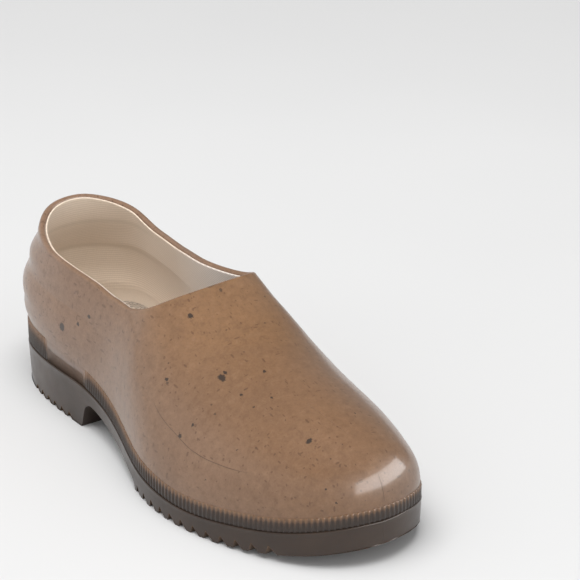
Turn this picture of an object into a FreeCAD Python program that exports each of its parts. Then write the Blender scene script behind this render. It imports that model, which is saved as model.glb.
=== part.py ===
import FreeCAD, Part
import math
import os

# Right-foot slip-on garden clog, EU 37. Millimetres, +Z up, toe towards -Y, lateral side towards -X.
# Plan stations s run along the shoe from the heel tip of the tread (s = 0) to the toe tip (s = 262).

# ---- driving dimensions -------------------------------------------------------------------
TREAD_LENGTH = 262.0          # tread, heel tip to toe tip
STATIONS = [4.0, 18.0, 40.0, 70.0, 100.0, 130.0, 160.0, 190.0, 215.0, 237.0, 253.0]
LATERAL = [-18.23, -31.43, -37.52, -37.63, -36.12, -40.51, -46.52, -44.64, -36.7, -25.63, -11.41]
MEDIAL = [15.78, 30.27, 32.78, 31.05, 27.55, 34.11, 49.51, 54.19, 52.31, 46.61, 37.87]
HEEL_TIP_X = 0.63
TOE_TIP_X = 13.24
TOE_SPRING = 9.2              # rise of the tread under the toe tip
TOE_SPRING_START = 196.0
WELT_S = [0.0, 40.0, 75.0, 105.0, 130.0, 160.0, 190.0, 225.0, 262.0]
WELT_Z = [18.5, 22.5, 23.2, 19.8, 15.8, 11.6, 9.7, 12.8, 20.8]      # top of the dark sole wall
BAND_S = [0.0, 40.0, 75.0, 130.0, 190.0, 262.0]
BAND_H = [13.2, 12.0, 10.3, 8.6, 7.4, 6.5]                          # ribbed band height
SOLE_PROUD = 1.0              # sole wall stands outside the tread outline
BAND_PROUD = 0.9              # ribbed band stands outside the upper's foot
SHELL_T = 3.2                 # moulded upper wall
LINING_T = 1.0                # knitted sock
FOOTBED_GAP = 0.8             # removable footbed to lining, all round
FOOTBED_LIFT = 0.3            # footbed above the sock bottom at rest
FOAM_T = 3.2
FELT_T = 1.3
# upper: height of the ridge line, back lean, top line
RIDGE_S = [120.0, 135.0, 150.0, 170.0, 190.0, 210.0, 230.0, 245.0]
RIDGE_Z = [103.0, 98.0, 85.4, 71.9, 65.4, 60.9, 56.7]
HEEL_VIRTUAL = 113.0
INSTEP_VIRTUAL = 111.0
LEAN_Z = [35.0, 45.0, 55.0, 65.0, 75.0, 85.0, 95.0]
LEAN = [0.3, -2.3, -2.5, 1.2, 7.0, 11.0, 13.0]
TOP_S = [0.0, 15.0, 30.0, 50.0, 70.0, 88.0, 104.0, 118.0, 130.0, 146.0, 156.0]
TOP_LATERAL_Z = [92.3, 87.5, 83.0, 79.4, 78.4, 77.1, 75.1, 75.2, 78.4, 87.3, 94.0]
TOP_MEDIAL_Z = [92.3, 86.0, 80.6, 76.9, 77.4, 79.7, 81.6, 83.2, 84.8, 91.8, 98.0]
TOP_HALF = 35.0               # the two top lines lie this far either side of x = 0
TOE_CAP_H = 26.0
TOE_CAP_R = 30.0
CREST_S = [0.0, 60.0, 120.0, 155.0, 190.0, 262.0]
CREST_SHIFT = [0.0, 0.0, 14.0, 10.5, 3.5, 0.0]
ARCH_P = [2.2, 2.2, 2.05, 2.1, 2.1]
ARCH_Q = [2.2, 2.2, 2.6, 2.0, 2.0]
ARCH_S = [0.0, 60.0, 130.0, 200.0, 262.0]
BULGE_S = [0.0, 50.0, 125.0, 262.0]
BULGE = [1.3, 1.3, 0.0, 0.0]
# sole
BREAST_S = 82.0               # front of the heel block
FORE_S = 149.8                # rear of the forefoot tread
WAIST_S = [84.0, 87.0, 92.0, 100.0, 108.0, 124.0, 140.0, 149.8]
WAIST_Z = [6.0, 12.5, 14.6, 13.6, 12.0, 9.4, 6.2, 2.5]
TOE_PLATE_S = 238.8
HEEL_PLATE_S = 31.8
HEEL_LUGS = 6
FORE_LUGS = 12
LUG_DEPTH = 3.4
LUG_LENGTH = 19.0
PANEL_DEPTH = 2.4
ORIGIN_X = -3.65                 # plan offsets that put the origin under the middle of the box
ORIGIN_Y = -0.92


def pchip(xs, ys):
    n = len(xs)
    h = [xs[i + 1] - xs[i] for i in range(n - 1)]
    d = [(ys[i + 1] - ys[i]) / h[i] for i in range(n - 1)]
    m = [0.0] * n
    for i in range(1, n - 1):
        if d[i - 1] * d[i] > 0:
            w1, w2 = 2 * h[i] + h[i - 1], h[i] + 2 * h[i - 1]
            m[i] = (w1 + w2) / (w1 / d[i - 1] + w2 / d[i])
    m[0], m[-1] = end_slope(h[0], h[1], d[0], d[1]), end_slope(h[-1], h[-2], d[-1], d[-2])

    def f(x):
        x = min(max(x, xs[0]), xs[-1])
        i = 0
        while i < n - 2 and x > xs[i + 1]:
            i += 1
        t = (x - xs[i]) / h[i]
        a, b, c, e = (2 * t - 3) * t * t + 1, ((t - 2) * t + 1) * t, (3 - 2 * t) * t * t, (t - 1) * t * t
        return a * ys[i] + b * h[i] * m[i] + c * ys[i + 1] + e * h[i] * m[i + 1]

    return f


def end_slope(h0, h1, d0, d1):
    s = ((2 * h0 + h1) * d0 - h0 * d1) / (h0 + h1)
    if s * d0 <= 0:
        return 0.0
    if d0 * d1 < 0 and abs(s) > 3 * abs(d0):
        return 3 * d0
    return s


def periodic(points, count):
    """Closed cubic spline through the points, sampled evenly by chord length, with outward normals."""
    p = points + [points[0]]
    d = [0.0]
    for a, b in zip(p[:-1], p[1:]):
        d.append(d[-1] + math.sqrt(math.hypot(b[0] - a[0], b[1] - a[1])))
    n = len(points)
    h = [d[i + 1] - d[i] for i in range(n)]
    out = []
    ms = []
    for k in (0, 1):
        A = [[0.0] * n for _ in range(n)]
        r = [0.0] * n
        for i in range(n):
            im, ip = (i - 1) % n, (i + 1) % n
            A[i][im] += h[im]
            A[i][i] += 2 * (h[im] + h[i])
            A[i][ip] += h[i]
            r[i] = 6 * ((p[i + 1][k] - p[i][k]) / h[i] - (p[i][k] - p[im][k]) / h[im])
        for i in range(n):
            q = A[i][i]
            for j in range(i + 1, n):
                if A[j][i]:
                    w = A[j][i] / q
                    for c in range(i, n):
                        A[j][c] -= w * A[i][c]
                    r[j] -= w * r[i]
        m = [0.0] * n
        for i in range(n - 1, -1, -1):
            m[i] = (r[i] - sum(A[i][c] * m[c] for c in range(i + 1, n))) / A[i][i]
        ms.append(m + [m[0]])
    i = 0
    for q in range(count):
        t = d[-1] * q / count
        while t > d[i + 1]:
            i += 1
        v = []
        for k in (0, 1):
            m = ms[k]
            a, b, hh = d[i + 1] - t, t - d[i], h[i]
            y = (m[i] * a ** 3 + m[i + 1] * b ** 3) / (6 * hh) + (p[i][k] / hh - m[i] * hh / 6) * a + (p[i + 1][k] / hh - m[i + 1] * hh / 6) * b
            g = (-m[i] * a * a + m[i + 1] * b * b) / (2 * hh) - (p[i][k] / hh - m[i] * hh / 6) + (p[i + 1][k] / hh - m[i + 1] * hh / 6)
            v += [y, g]
        l = math.hypot(v[1], v[3])
        out.append((v[0], v[2], -v[3] / l, v[1] / l))
    return out


OUTLINE = periodic([(0.0, HEEL_TIP_X)] + list(zip(STATIONS, LATERAL)) + [(TREAD_LENGTH, TOE_TIP_X)] + list(zip(STATIONS, MEDIAL))[::-1], 720)
if sum(nx * (s - 130) + ny * (x - 5) for s, x, nx, ny in OUTLINE) < 0:
    OUTLINE = [(s, x, -a, -b) for s, x, a, b in OUTLINE]


def offset_outline(e):
    return [(s + a * e, x + b * e) for s, x, a, b in OUTLINE]


def halves(e):
    """The outline at offset e, as x on the lateral and the medial side for a given s."""
    q = offset_outline(e)
    i0 = min(range(len(q)), key=lambda i: q[i][0])
    q = q[i0:] + q[:i0]
    i1 = max(range(len(q)), key=lambda i: q[i][0])
    a, b = q[: i1 + 1], (q[i1:] + [q[0]])[::-1]
    if sum(v[1] for v in a) / len(a) > sum(v[1] for v in b) / len(b):
        a, b = b, a

    def side(c):
        xs = [v[0] for v in c]

        def f(s):
            s = min(max(s, xs[0]), xs[-1])
            lo, hi = 0, len(xs) - 1
            while hi - lo > 1:
                mid = (lo + hi) // 2
                if xs[mid] <= s:
                    lo = mid
                else:
                    hi = mid
            w = (s - xs[lo]) / max(xs[hi] - xs[lo], 1e-9)
            return c[lo][1] + (c[hi][1] - c[lo][1]) * min(max(w, 0), 1)

        return f

    return q[0][0], max(v[0] for v in q), side(a), side(b)


welt = pchip(WELT_S, WELT_Z)
band = pchip(BAND_S, BAND_H)


def band_top(s):
    s = min(max(s, 0.0), TREAD_LENGTH)
    return welt(s) + band(s)


def y_of(s):
    return TREAD_LENGTH / 2 - s + ORIGIN_Y


def pt(s, x, z):
    return FreeCAD.Vector(x + ORIGIN_X, y_of(s), z)


class Upper:
    """The closed form of the upper at a depth t inside its outer face."""

    def __init__(self, t):
        self.s0, self.s1, self.xl, self.xm = halves(0.3 - t)
        cap, rad = TOE_CAP_H - 0.75 * t, TOE_CAP_R - t
        base = band_top(TREAD_LENGTH)

        def toe(s):
            d = min(max((self.s1 - s) / rad, 0.0), 1.0)
            return base + cap * (1 - (1 - d) ** 2.3) ** (1 / 2.3)

        zs = [HEEL_VIRTUAL, HEEL_VIRTUAL, HEEL_VIRTUAL - 1, INSTEP_VIRTUAL] + RIDGE_Z
        zs = [z - t * k for z, k in zip(zs, [1.0, 1.0, 1.05, 1.1, 1.25, 1.25, 1.25, 1.18, 1.1, 1.06, 1.06])] + [toe(RIDGE_S[-1])]
        ridge = pchip([-10.0, 30.0, 60.0, 85.0] + RIDGE_S, zs)
        self.ridge = lambda s: toe(s) if s > RIDGE_S[-1] else ridge(s)
        self.lean = pchip(LEAN_Z, LEAN)
        self.crest = pchip(CREST_S, CREST_SHIFT)
        self.p = pchip(ARCH_S, ARCH_P)
        self.q = pchip(ARCH_S, ARCH_Q)
        self.bulge = pchip(BULGE_S, BULGE)

    def x(self, s, z, side):
        w = min(max(1 - s / 110.0, 0.0), 1.0) ** 2
        sb = min(max(s - self.lean(z) * w, self.s0), self.s1)
        zb = band_top(sb)
        v = min(max((z - zb) / max(self.ridge(sb) - zb, 0.5), 0.0), 1.0)
        f = (1 - v ** self.p(sb)) ** (1 / self.q(sb))
        mid = 0.5 * (self.xl(sb) + self.xm(sb)) + self.crest(sb)
        edge = self.xl(sb) if side < 0 else self.xm(sb)
        u = min(max((z - zb) / 26.0, 0.0), 1.0)
        return mid + (edge - mid) * f + side * self.bulge(sb) * 4 * u * (1 - u) * f

    def back(self, z):
        s = self.s0
        for _ in range(30):
            w = min(max(1 - s / 110.0, 0.0), 1.0) ** 2
            s = self.s0 + self.lean(z) * w
        return s

    def front(self, z):
        lo, hi = 90.0, self.s1
        if self.ridge(hi) >= z:
            return hi
        while hi - lo > 1e-4:
            mid = (lo + hi) / 2
            if self.ridge(mid) > z:
                lo = mid
            else:
                hi = mid
        return lo

    def solid(self, levels, n=15):
        wires = []
        params = [i / n for i in range(n + 1)]
        for z in levels:
            a, b = self.back(z), self.front(z)
            ss = [a + (b - a) * (0.5 - 0.5 * math.cos(math.pi * k)) for k in params]
            xa = 0.5 * (self.x(a + 1e-4, z, -1) + self.x(a + 1e-4, z, 1))
            xb = 0.5 * (self.x(b - 1e-4, z, -1) + self.x(b - 1e-4, z, 1))
            sides = []
            for side in (-1, 1):
                pts = [pt(a, xa, z)] + [pt(s, self.x(s, z, side), z) for s in ss[1:-1]] + [pt(b, xb, z)]
                c = Part.BSplineCurve()
                if side > 0:
                    pts = pts[::-1]
                c.interpolate(Points=pts, Parameters=params)
                sides.append(c.toShape())
            wires.append(Part.Wire(sides))
        return Part.makeLoft(wires, True, False, False, 5)


def curve_edge(points):
    c = Part.BSplineCurve()
    c.interpolate(points)
    return c.toShape()


def profile_solid(lower, upper, width=80.0):
    """A slab across the whole shoe between two side-view curves, each a list of (s, z)."""
    x = -width
    lo = [pt(s, x, z) for s, z in lower]
    up = [pt(s, x, z) for s, z in upper]
    w = Part.Wire([curve_edge(lo), Part.makeLine(lo[-1], up[-1]), curve_edge(up[::-1]), Part.makeLine(up[0], lo[0])])
    return Part.Face(w).extrude(FreeCAD.Vector(2 * width, 0, 0))


def prism(e, z0, z1, step=12):
    q = offset_outline(e)[::step]
    c = Part.BSplineCurve()
    c.interpolate(Points=[pt(s, x, z0) for s, x in q], PeriodicFlag=True)
    return Part.Face(Part.Wire([c.toShape()])).extrude(FreeCAD.Vector(0, 0, z1 - z0))


def frange(a, b, n):
    return [a + (b - a) * i / n for i in range(n + 1)]


WS = [-14.0, -6.0] + frange(0, 262, 22) + [268.0, 276.0]


def above(dz, top=140.0):
    """Everything higher than the sole's upper face plus dz."""
    lo = [pt(s, -80, welt(min(max(s, 0), 262)) + dz) for s in WS]
    w = Part.Wire([curve_edge(lo)] + [Part.makeLine(a, b) for a, b in ((lo[-1], pt(WS[-1], -80, top)), (pt(WS[-1], -80, top), pt(WS[0], -80, top)), (pt(WS[0], -80, top), lo[0]))])
    return Part.Face(w).extrude(FreeCAD.Vector(160, 0, 0))


def slab(dz0, dz1):
    return profile_solid([(s, welt(min(max(s, 0), 262)) + dz0) for s in WS], [(s, welt(min(max(s, 0), 262)) + dz1) for s in WS])


outer = Upper(0.0)
inner = Upper(SHELL_T)
liner = Upper(SHELL_T + LINING_T)
Z_LEVELS = [5.0, 10.0, 14.0, 18.0, 22.0, 26.0, 30.0, 34.0, 38.0, 42.0, 46.0, 49.0, 52.0, 55.0, 58.0, 62.0, 66.0, 71.0, 76.0, 81.0, 86.0, 91.0, 97.0]
outer_solid = outer.solid(Z_LEVELS)
inner_solid = inner.solid([z for z in Z_LEVELS])
liner_solid = liner.solid([z for z in Z_LEVELS])

# the opening: everything above a ruled surface between the lateral and the medial top line
top_lat, top_med = pchip(TOP_S, TOP_LATERAL_Z), pchip(TOP_S, TOP_MEDIAL_Z)
MOUTH_END = TOP_S[-1]


def mouth_wire(x):
    w = (x + TOP_HALF) / (2 * TOP_HALF)
    tp = [(-14.0, TOP_LATERAL_Z[0] + 0.2)] + [(s, top_lat(s) * (1 - w) + top_med(s) * w) for s in frange(0, MOUTH_END, 18)]
    tv = [pt(s, x, z) for s, z in tp]
    far = [pt(MOUTH_END, x, 150.0), pt(-14.0, x, 150.0)]
    return Part.Wire([curve_edge(tv), Part.makeLine(tv[-1], far[0]), Part.makeLine(far[0], far[1]), Part.makeLine(far[1], tv[0])])


mouth = Part.makeLoft([mouth_wire(-60.0), mouth_wire(60.0)], True, True)

body_region = above(0.0)
foot_band = prism(BAND_PROUD, 0.0, 60.0).common(profile_solid([(s, welt(min(max(s, 0), 262))) for s in WS], [(s, band_top(s)) for s in WS]))
shell = outer_solid.common(body_region).fuse(foot_band).cut(inner_solid).cut(mouth).removeSplitter()

lining = inner_solid.common(body_region).cut(liner_solid.common(above(LINING_T))).cut(mouth).removeSplitter()

# removable footbed, two bonded layers
bed_plan = prism(0.3 - SHELL_T - LINING_T - FOOTBED_GAP, 0.0, 60.0)
z_bed = LINING_T + FOOTBED_LIFT
foam = bed_plan.common(slab(z_bed, z_bed + FOAM_T))
felt = bed_plan.common(slab(z_bed + FOAM_T, z_bed + FOAM_T + FELT_T))

# outsole: heel block, waist and forefoot in one moulding
spring = lambda s: TOE_SPRING * max(0.0, (s - TOE_SPRING_START) / (TREAD_LENGTH - TOE_SPRING_START)) ** 2
bottom = [pt(WS[0], -80, 0), pt(BREAST_S, -80, 0)]
waist = [pt(BREAST_S, -80, 0)] + [pt(s, -80, z) for s, z in zip(WAIST_S[:-1], WAIST_Z[:-1])] + [pt(FORE_S - 1.0, -80, 3.0)]
e = [Part.makeLine(bottom[0], bottom[1]), curve_edge(waist), Part.makeLine(waist[-1], pt(FORE_S, -80, 0)), Part.makeLine(pt(FORE_S, -80, 0), pt(TOE_SPRING_START, -80, 0))]
toe_curve = [pt(s, -80, spring(s)) for s in (196.0, 206.0, 216.0, 226.0, 236.0, 246.0, 256.0, 262.0)] + [pt(WS[-1], -80, TOE_SPRING * 1.46)]
e.append(curve_edge(toe_curve))
upper_edge = [pt(s, -80, welt(min(max(s, 0), 262))) for s in WS]
e += [Part.makeLine(toe_curve[-1], upper_edge[-1]), curve_edge(upper_edge[::-1]), Part.makeLine(upper_edge[0], bottom[0])]
sole = Part.Face(Part.Wire(e)).extrude(FreeCAD.Vector(160, 0, 0)).common(prism(SOLE_PROUD, -5.0, 60.0))

xs0, xs1, xlat, xmed = halves(SOLE_PROUD)


def groove(s0, s1, side, base):
    """One saw-tooth gap between two edge lugs: a wedge across the edge of the tread."""
    edge = xlat((s0 + s1) / 2) if side < 0 else xmed((s0 + s1) / 2)
    xa = edge + side * 6.0
    xb = edge - side * LUG_LENGTH
    z0 = base(s0 + 1.0) - 6.0
    zt = base((s0 + s1) / 2) + LUG_DEPTH
    p = [pt(s0, xa, z0), pt(s0, xa, base(s0) - 0.8), pt(s0 + (s1 - s0) * 0.30, xa, zt), pt(s1, xa, base(s1) - 0.8), pt(s1, xa, z0)]
    return Part.Face(Part.Wire([Part.makeLine(a, b) for a, b in zip(p, p[1:] + p[:1])])).extrude(FreeCAD.Vector(xb - xa, 0, 0))


cutters = []
pitch = (TOE_PLATE_S - FORE_S) / FORE_LUGS
for i in range(FORE_LUGS):
    for side in (-1, 1):
        a = FORE_S + i * pitch + 2.0
        cutters.append(groove(a, a + pitch - 2.0, side, spring))
pitch = (BREAST_S - 8.0 - HEEL_PLATE_S) / HEEL_LUGS
for i in range(HEEL_LUGS):
    for side in (-1, 1):
        a = HEEL_PLATE_S + i * pitch + 2.0
        cutters.append(groove(a, a + pitch - 2.0, side, lambda s: 0.0))
sole = sole.cut(cutters)

# sunken centre of the forefoot with five chevron steps, and the sunken round boss seat in the heel
ps = [(232.0, 4.0), (228.0, 26.0), (216.0, 31.0), (190.0, 33.0), (160.0, 30.0), (148.0, 27.0), (148.0, -20.0), (165.0, -26.0), (190.0, -25.0), (212.0, -17.0), (228.0, -4.0)]
pp = [pt(s, x, -3.0) for s, x in ps]
panel = Part.Face(Part.Wire([Part.makeLine(a, b) for a, b in zip(pp, pp[1:] + pp[:1])])).extrude(FreeCAD.Vector(0, 0, 40))
under = profile_solid([(s, spring(s) - 8.0) for s in [140.0] + frange(150, 240, 9)], [(s, spring(s) + PANEL_DEPTH) for s in [140.0] + frange(150, 240, 9)])
sole = sole.cut(panel.common(under))
seat = Part.makeCylinder(12.5, 6.0, pt(56.0, 0.0, -3.0), FreeCAD.Vector(0, 0, 1))
channel = Part.makeBox(22.0, 28.0, 7.0, FreeCAD.Vector(-11.0 + ORIGIN_X, y_of(BREAST_S + 2.0), -3.0))
sole = sole.cut(seat.fuse(channel)).removeSplitter()

os.makedirs("parts", exist_ok=True)
PIECES = {
    "upper_shell": shell,
    "outsole": sole,
    "sock_lining": lining,
    "footbed_foam": foam,
    "footbed_felt": felt,
}
box = FreeCAD.BoundBox()
for name, shape in PIECES.items():
    solids = shape.Solids
    if len(solids) > 1:
        solids = sorted(solids, key=lambda q: -q.Volume)
        print(name, "solids", [round(q.Volume, 1) for q in solids])
        solids = solids[:1]
    solid = solids[0]
    b = solid.optimalBoundingBox(False)
    print(name, "valid", solid.isValid(), "volume", round(solid.Volume / 1000, 2), "cm3", "x", round(b.XMin, 2), round(b.XMax, 2), "y", round(b.YMin, 2), round(b.YMax, 2), "z", round(b.ZMin, 2), round(b.ZMax, 2))
    solid.exportStep("parts/%s.step" % name)
    box.add(b)
print("box", round(box.XMin, 3), round(box.XMax, 3), round(box.YMin, 3), round(box.YMax, 3), round(box.ZMin, 3), round(box.ZMax, 3))
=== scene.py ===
import bpy
import math
import numpy as np
from mathutils import Matrix, Vector
from mathutils.bvhtree import BVHTree

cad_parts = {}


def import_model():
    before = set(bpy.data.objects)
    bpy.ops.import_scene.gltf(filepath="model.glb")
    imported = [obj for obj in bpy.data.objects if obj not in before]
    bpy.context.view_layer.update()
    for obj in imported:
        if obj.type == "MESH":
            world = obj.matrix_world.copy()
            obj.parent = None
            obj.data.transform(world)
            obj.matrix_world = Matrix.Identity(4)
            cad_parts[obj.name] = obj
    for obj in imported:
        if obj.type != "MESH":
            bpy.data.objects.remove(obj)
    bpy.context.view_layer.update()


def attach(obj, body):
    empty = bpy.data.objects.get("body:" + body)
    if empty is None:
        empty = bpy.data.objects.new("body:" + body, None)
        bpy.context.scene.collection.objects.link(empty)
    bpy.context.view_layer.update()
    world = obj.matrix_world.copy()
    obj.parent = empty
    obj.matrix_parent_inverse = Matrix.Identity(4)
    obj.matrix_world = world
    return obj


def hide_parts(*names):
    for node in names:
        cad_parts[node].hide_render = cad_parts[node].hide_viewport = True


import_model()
SCENE = bpy.context.scene

# ------------------------------------------------------------------ camera
cam_data = bpy.data.cameras.new("camera")
cam_data.lens = 124.14
cam_data.sensor_width = 36.0
cam_data.clip_start = 0.05
cam_data.clip_end = 20.0
cam = bpy.data.objects.new("camera", cam_data)
SCENE.collection.objects.link(cam)
RIGHT = (0.83651, -0.54795, -0.00148)
DOWN = (-0.22554, -0.34186, -0.91229)
FWD = (0.49939, 0.76347, -0.40955)
cam.matrix_world = Matrix((
    (RIGHT[0], -DOWN[0], -FWD[0], -0.42485),
    (RIGHT[1], -DOWN[1], -FWD[1], -0.72332),
    (RIGHT[2], -DOWN[2], -FWD[2], 0.45610),
    (0, 0, 0, 1)))
SCENE.camera = cam

# ------------------------------------------------------------------ form of the clog, in millimetres
# s runs from the heel tip of the tread (0) to the toe tip (262); x is medial +, z is up
LENGTH = 262.0
ORIGIN_X, ORIGIN_Y = -3.65, -0.92
STATIONS = [4.0, 18.0, 40.0, 70.0, 100.0, 130.0, 160.0, 190.0, 215.0, 237.0, 253.0]
LATERAL = [-18.23, -31.43, -37.52, -37.63, -36.12, -40.51, -46.52, -44.64, -36.7, -25.63, -11.41]
MEDIAL = [15.78, 30.27, 32.78, 31.05, 27.55, 34.11, 49.51, 54.19, 52.31, 46.61, 37.87]
HEEL_TIP_X, TOE_TIP_X = 0.63, 13.24
TOE_SPRING, TOE_SPRING_START = 9.2, 196.0
WELT_S = [0.0, 40.0, 75.0, 105.0, 130.0, 160.0, 190.0, 225.0, 262.0]
WELT_Z = [18.5, 22.5, 23.2, 19.8, 15.8, 11.6, 9.7, 12.8, 20.8]
BAND_S = [0.0, 40.0, 75.0, 130.0, 190.0, 262.0]
BAND_H = [13.2, 12.0, 10.3, 8.6, 7.4, 6.5]
RIDGE_S = [120.0, 135.0, 150.0, 170.0, 190.0, 210.0, 230.0, 245.0]
RIDGE_Z = [103.0, 98.0, 85.4, 71.9, 65.4, 60.9, 56.7]
LEAN_Z = [35.0, 45.0, 55.0, 65.0, 75.0, 85.0, 95.0]
LEAN = [0.3, -2.3, -2.5, 1.2, 7.0, 11.0, 13.0]
TOP_S = [0.0, 15.0, 30.0, 50.0, 70.0, 88.0, 104.0, 118.0, 130.0, 146.0, 156.0]
TOP_LATERAL_Z = [92.3, 87.5, 83.0, 79.4, 78.4, 77.1, 75.1, 75.2, 78.4, 87.3, 94.0]
TOP_MEDIAL_Z = [92.3, 86.0, 80.6, 76.9, 77.4, 79.7, 81.6, 83.2, 84.8, 91.8, 98.0]
TOP_HALF = 35.0
TOE_CAP_H, TOE_CAP_R = 26.0, 30.0
BREAST_S, FORE_S = 82.0, 149.8
WAIST_S = [84.0, 87.0, 92.0, 100.0, 108.0, 124.0, 140.0, 148.8]
WAIST_Z = [6.0, 12.5, 14.6, 13.6, 12.0, 9.4, 6.2, 3.0]
TOE_PLATE_S, HEEL_PLATE_S = 238.8, 31.8
HEEL_LUGS, FORE_LUGS = 6, 12
WALL_T = 3.2


def pchip(xs, ys):
    xs, ys = np.array(xs, float), np.array(ys, float)
    h, d = np.diff(xs), np.diff(ys) / np.diff(xs)
    m = np.zeros(len(xs))
    for i in range(1, len(xs) - 1):
        if d[i - 1] * d[i] > 0:
            w1, w2 = 2 * h[i] + h[i - 1], h[i] + 2 * h[i - 1]
            m[i] = (w1 + w2) / (w1 / d[i - 1] + w2 / d[i])

    def end(h0, h1, d0, d1):
        s = ((2 * h0 + h1) * d0 - h0 * d1) / (h0 + h1)
        if s * d0 <= 0:
            return 0.0
        return 3 * d0 if d0 * d1 < 0 and abs(s) > 3 * abs(d0) else s

    m[0], m[-1] = end(h[0], h[1], d[0], d[1]), end(h[-1], h[-2], d[-1], d[-2])

    def f(x):
        x = np.clip(np.asarray(x, float), xs[0], xs[-1])
        i = np.clip(np.searchsorted(xs, x, side="right") - 1, 0, len(xs) - 2)
        t = (x - xs[i]) / h[i]
        return (((2 * t - 3) * t * t + 1) * ys[i] + ((t - 2) * t + 1) * t * h[i] * m[i]
                + (3 - 2 * t) * t * t * ys[i + 1] + (t - 1) * t * t * h[i] * m[i + 1])

    return f


def smooth(a, b, x):
    t = np.clip((np.asarray(x, float) - a) / (b - a), 0, 1)
    return t * t * (3 - 2 * t)


def periodic(points, count):
    """Closed cubic spline through the points: s, x and the outward normal at count places."""
    p = np.array(points + [points[0]], float)
    step = np.sqrt(np.hypot(*np.diff(p, axis=0).T))
    d = np.r_[0, np.cumsum(step)]
    n = len(points)
    A, r = np.zeros((n, n)), np.zeros((n, 2))
    for i in range(n):
        im, ip = (i - 1) % n, (i + 1) % n
        A[i, im] += step[im]
        A[i, i] += 2 * (step[im] + step[i])
        A[i, ip] += step[i]
        r[i] = 6 * ((p[i + 1] - p[i]) / step[i] - (p[i] - p[im]) / step[im])
    m = np.linalg.solve(A, r)
    m = np.vstack([m, m[:1]])
    t = d[-1] * np.arange(count) / count
    i = np.clip(np.searchsorted(d, t, side="right") - 1, 0, n - 1)
    a, b, h = (d[i + 1] - t)[:, None], (t - d[i])[:, None], step[i][:, None]
    y = (m[i] * a ** 3 + m[i + 1] * b ** 3) / (6 * h) + (p[i] / h - m[i] * h / 6) * a + (p[i + 1] / h - m[i + 1] * h / 6) * b
    g = (-m[i] * a * a + m[i + 1] * b * b) / (2 * h) - (p[i] / h - m[i] * h / 6) + (p[i + 1] / h - m[i + 1] * h / 6)
    l = np.hypot(g[:, 0], g[:, 1])
    return np.c_[y, -g[:, 1] / l, g[:, 0] / l]


OUT = periodic([(0.0, HEEL_TIP_X)] + list(zip(STATIONS, LATERAL)) + [(LENGTH, TOE_TIP_X)] + list(zip(STATIONS, MEDIAL))[::-1], 5760)
if np.sum(OUT[:, 2] * (OUT[:, 0] - 130) + OUT[:, 3] * (OUT[:, 1] - 5)) < 0:
    OUT[:, 2:] *= -1


def ring(e):
    return OUT[:, :2] + OUT[:, 2:] * np.asarray(e, float).reshape(-1, 1)


def halves(e):
    """The lateral and the medial half of the outline at offset e, each from heel tip to toe tip."""
    q = ring(e)
    q = np.roll(q, -int(np.argmin(q[:, 0])), 0)
    i1 = int(np.argmax(q[:, 0]))
    a, b = q[: i1 + 1].copy(), np.vstack([q[i1:], q[:1]])[::-1].copy()
    if a[:, 1].mean() > b[:, 1].mean():
        a, b = b, a
    for c in (a, b):
        c[:, 0] = np.maximum.accumulate(c[:, 0]) + np.arange(len(c)) * 1e-9
    return a, b


welt = pchip(WELT_S, WELT_Z)
band_h = pchip(BAND_S, BAND_H)
lean = pchip(LEAN_Z, LEAN)
crest = pchip([0.0, 60.0, 120.0, 155.0, 190.0, 262.0], [0.0, 0.0, 14.0, 10.5, 3.5, 0.0])
arch_p = pchip([0.0, 60.0, 130.0, 200.0, 262.0], [2.2, 2.2, 2.05, 2.1, 2.1])
arch_q = pchip([0.0, 60.0, 130.0, 200.0, 262.0], [2.2, 2.2, 2.6, 2.0, 2.0])
bulge = pchip([0.0, 50.0, 125.0, 262.0], [1.3, 1.3, 0.0, 0.0])


def band_top(s):
    return welt(s) + band_h(s)


LAT, MED = halves(0.3)
S_LO, S_HI = LAT[0, 0], LAT[-1, 0]
TOE_BASE = float(band_top(LENGTH))


def toe_line(s):
    d = np.clip((S_HI - s) / TOE_CAP_R, 0, 1)
    return TOE_BASE + TOE_CAP_H * (1 - (1 - d) ** 2.3) ** (1 / 2.3)


_ridge = pchip([-10.0, 30.0, 60.0, 85.0] + RIDGE_S, [113.0, 113.0, 112.0, 111.0] + RIDGE_Z + [float(toe_line(RIDGE_S[-1]))])


def ridge(s):
    return np.where(s > RIDGE_S[-1], toe_line(s), _ridge(s))


top_lat, top_med = pchip(TOP_S, TOP_LATERAL_Z), pchip(TOP_S, TOP_MEDIAL_Z)


def top_z(s, x):
    w = (x + TOP_HALF) / (2 * TOP_HALF)
    return top_lat(s) * (1 - w) + top_med(s) * w


def edge_x(s, side):
    h = LAT if side < 0 else MED
    return np.interp(s, h[:, 0], h[:, 1])


def mid_x(s):
    return 0.5 * (edge_x(s, -1) + edge_x(s, 1)) + crest(s)


RIM_DROP = 1.5
THROAT_S, _hi = 120.0, 156.0
for _ in range(50):
    _c = 0.5 * (THROAT_S + _hi)
    if top_z(_c, mid_x(_c)) - RIM_DROP < ridge(_c):
        THROAT_S = _c
    else:
        _hi = _c


def heel_steps(s, z):
    """The kick-off steps round the back of the heel: outward relief."""
    f = 1 - smooth(14, 52, s)
    r = 0.85 * np.exp(-((z - 70.0) / 3.8) ** 2) + 0.70 * np.exp(-((z - 53.0) / 5.2) ** 2) + 0.3 * np.exp(-((z - 39.5) / 3.4) ** 2)
    r -= 0.42 * np.exp(-((z - 62.8) / 2.3) ** 2) + 0.32 * np.exp(-((z - 45.6) / 2.2) ** 2) + 0.6 * np.exp(-((z - 77.6) / 2.3) ** 2)
    return r * f


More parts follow.
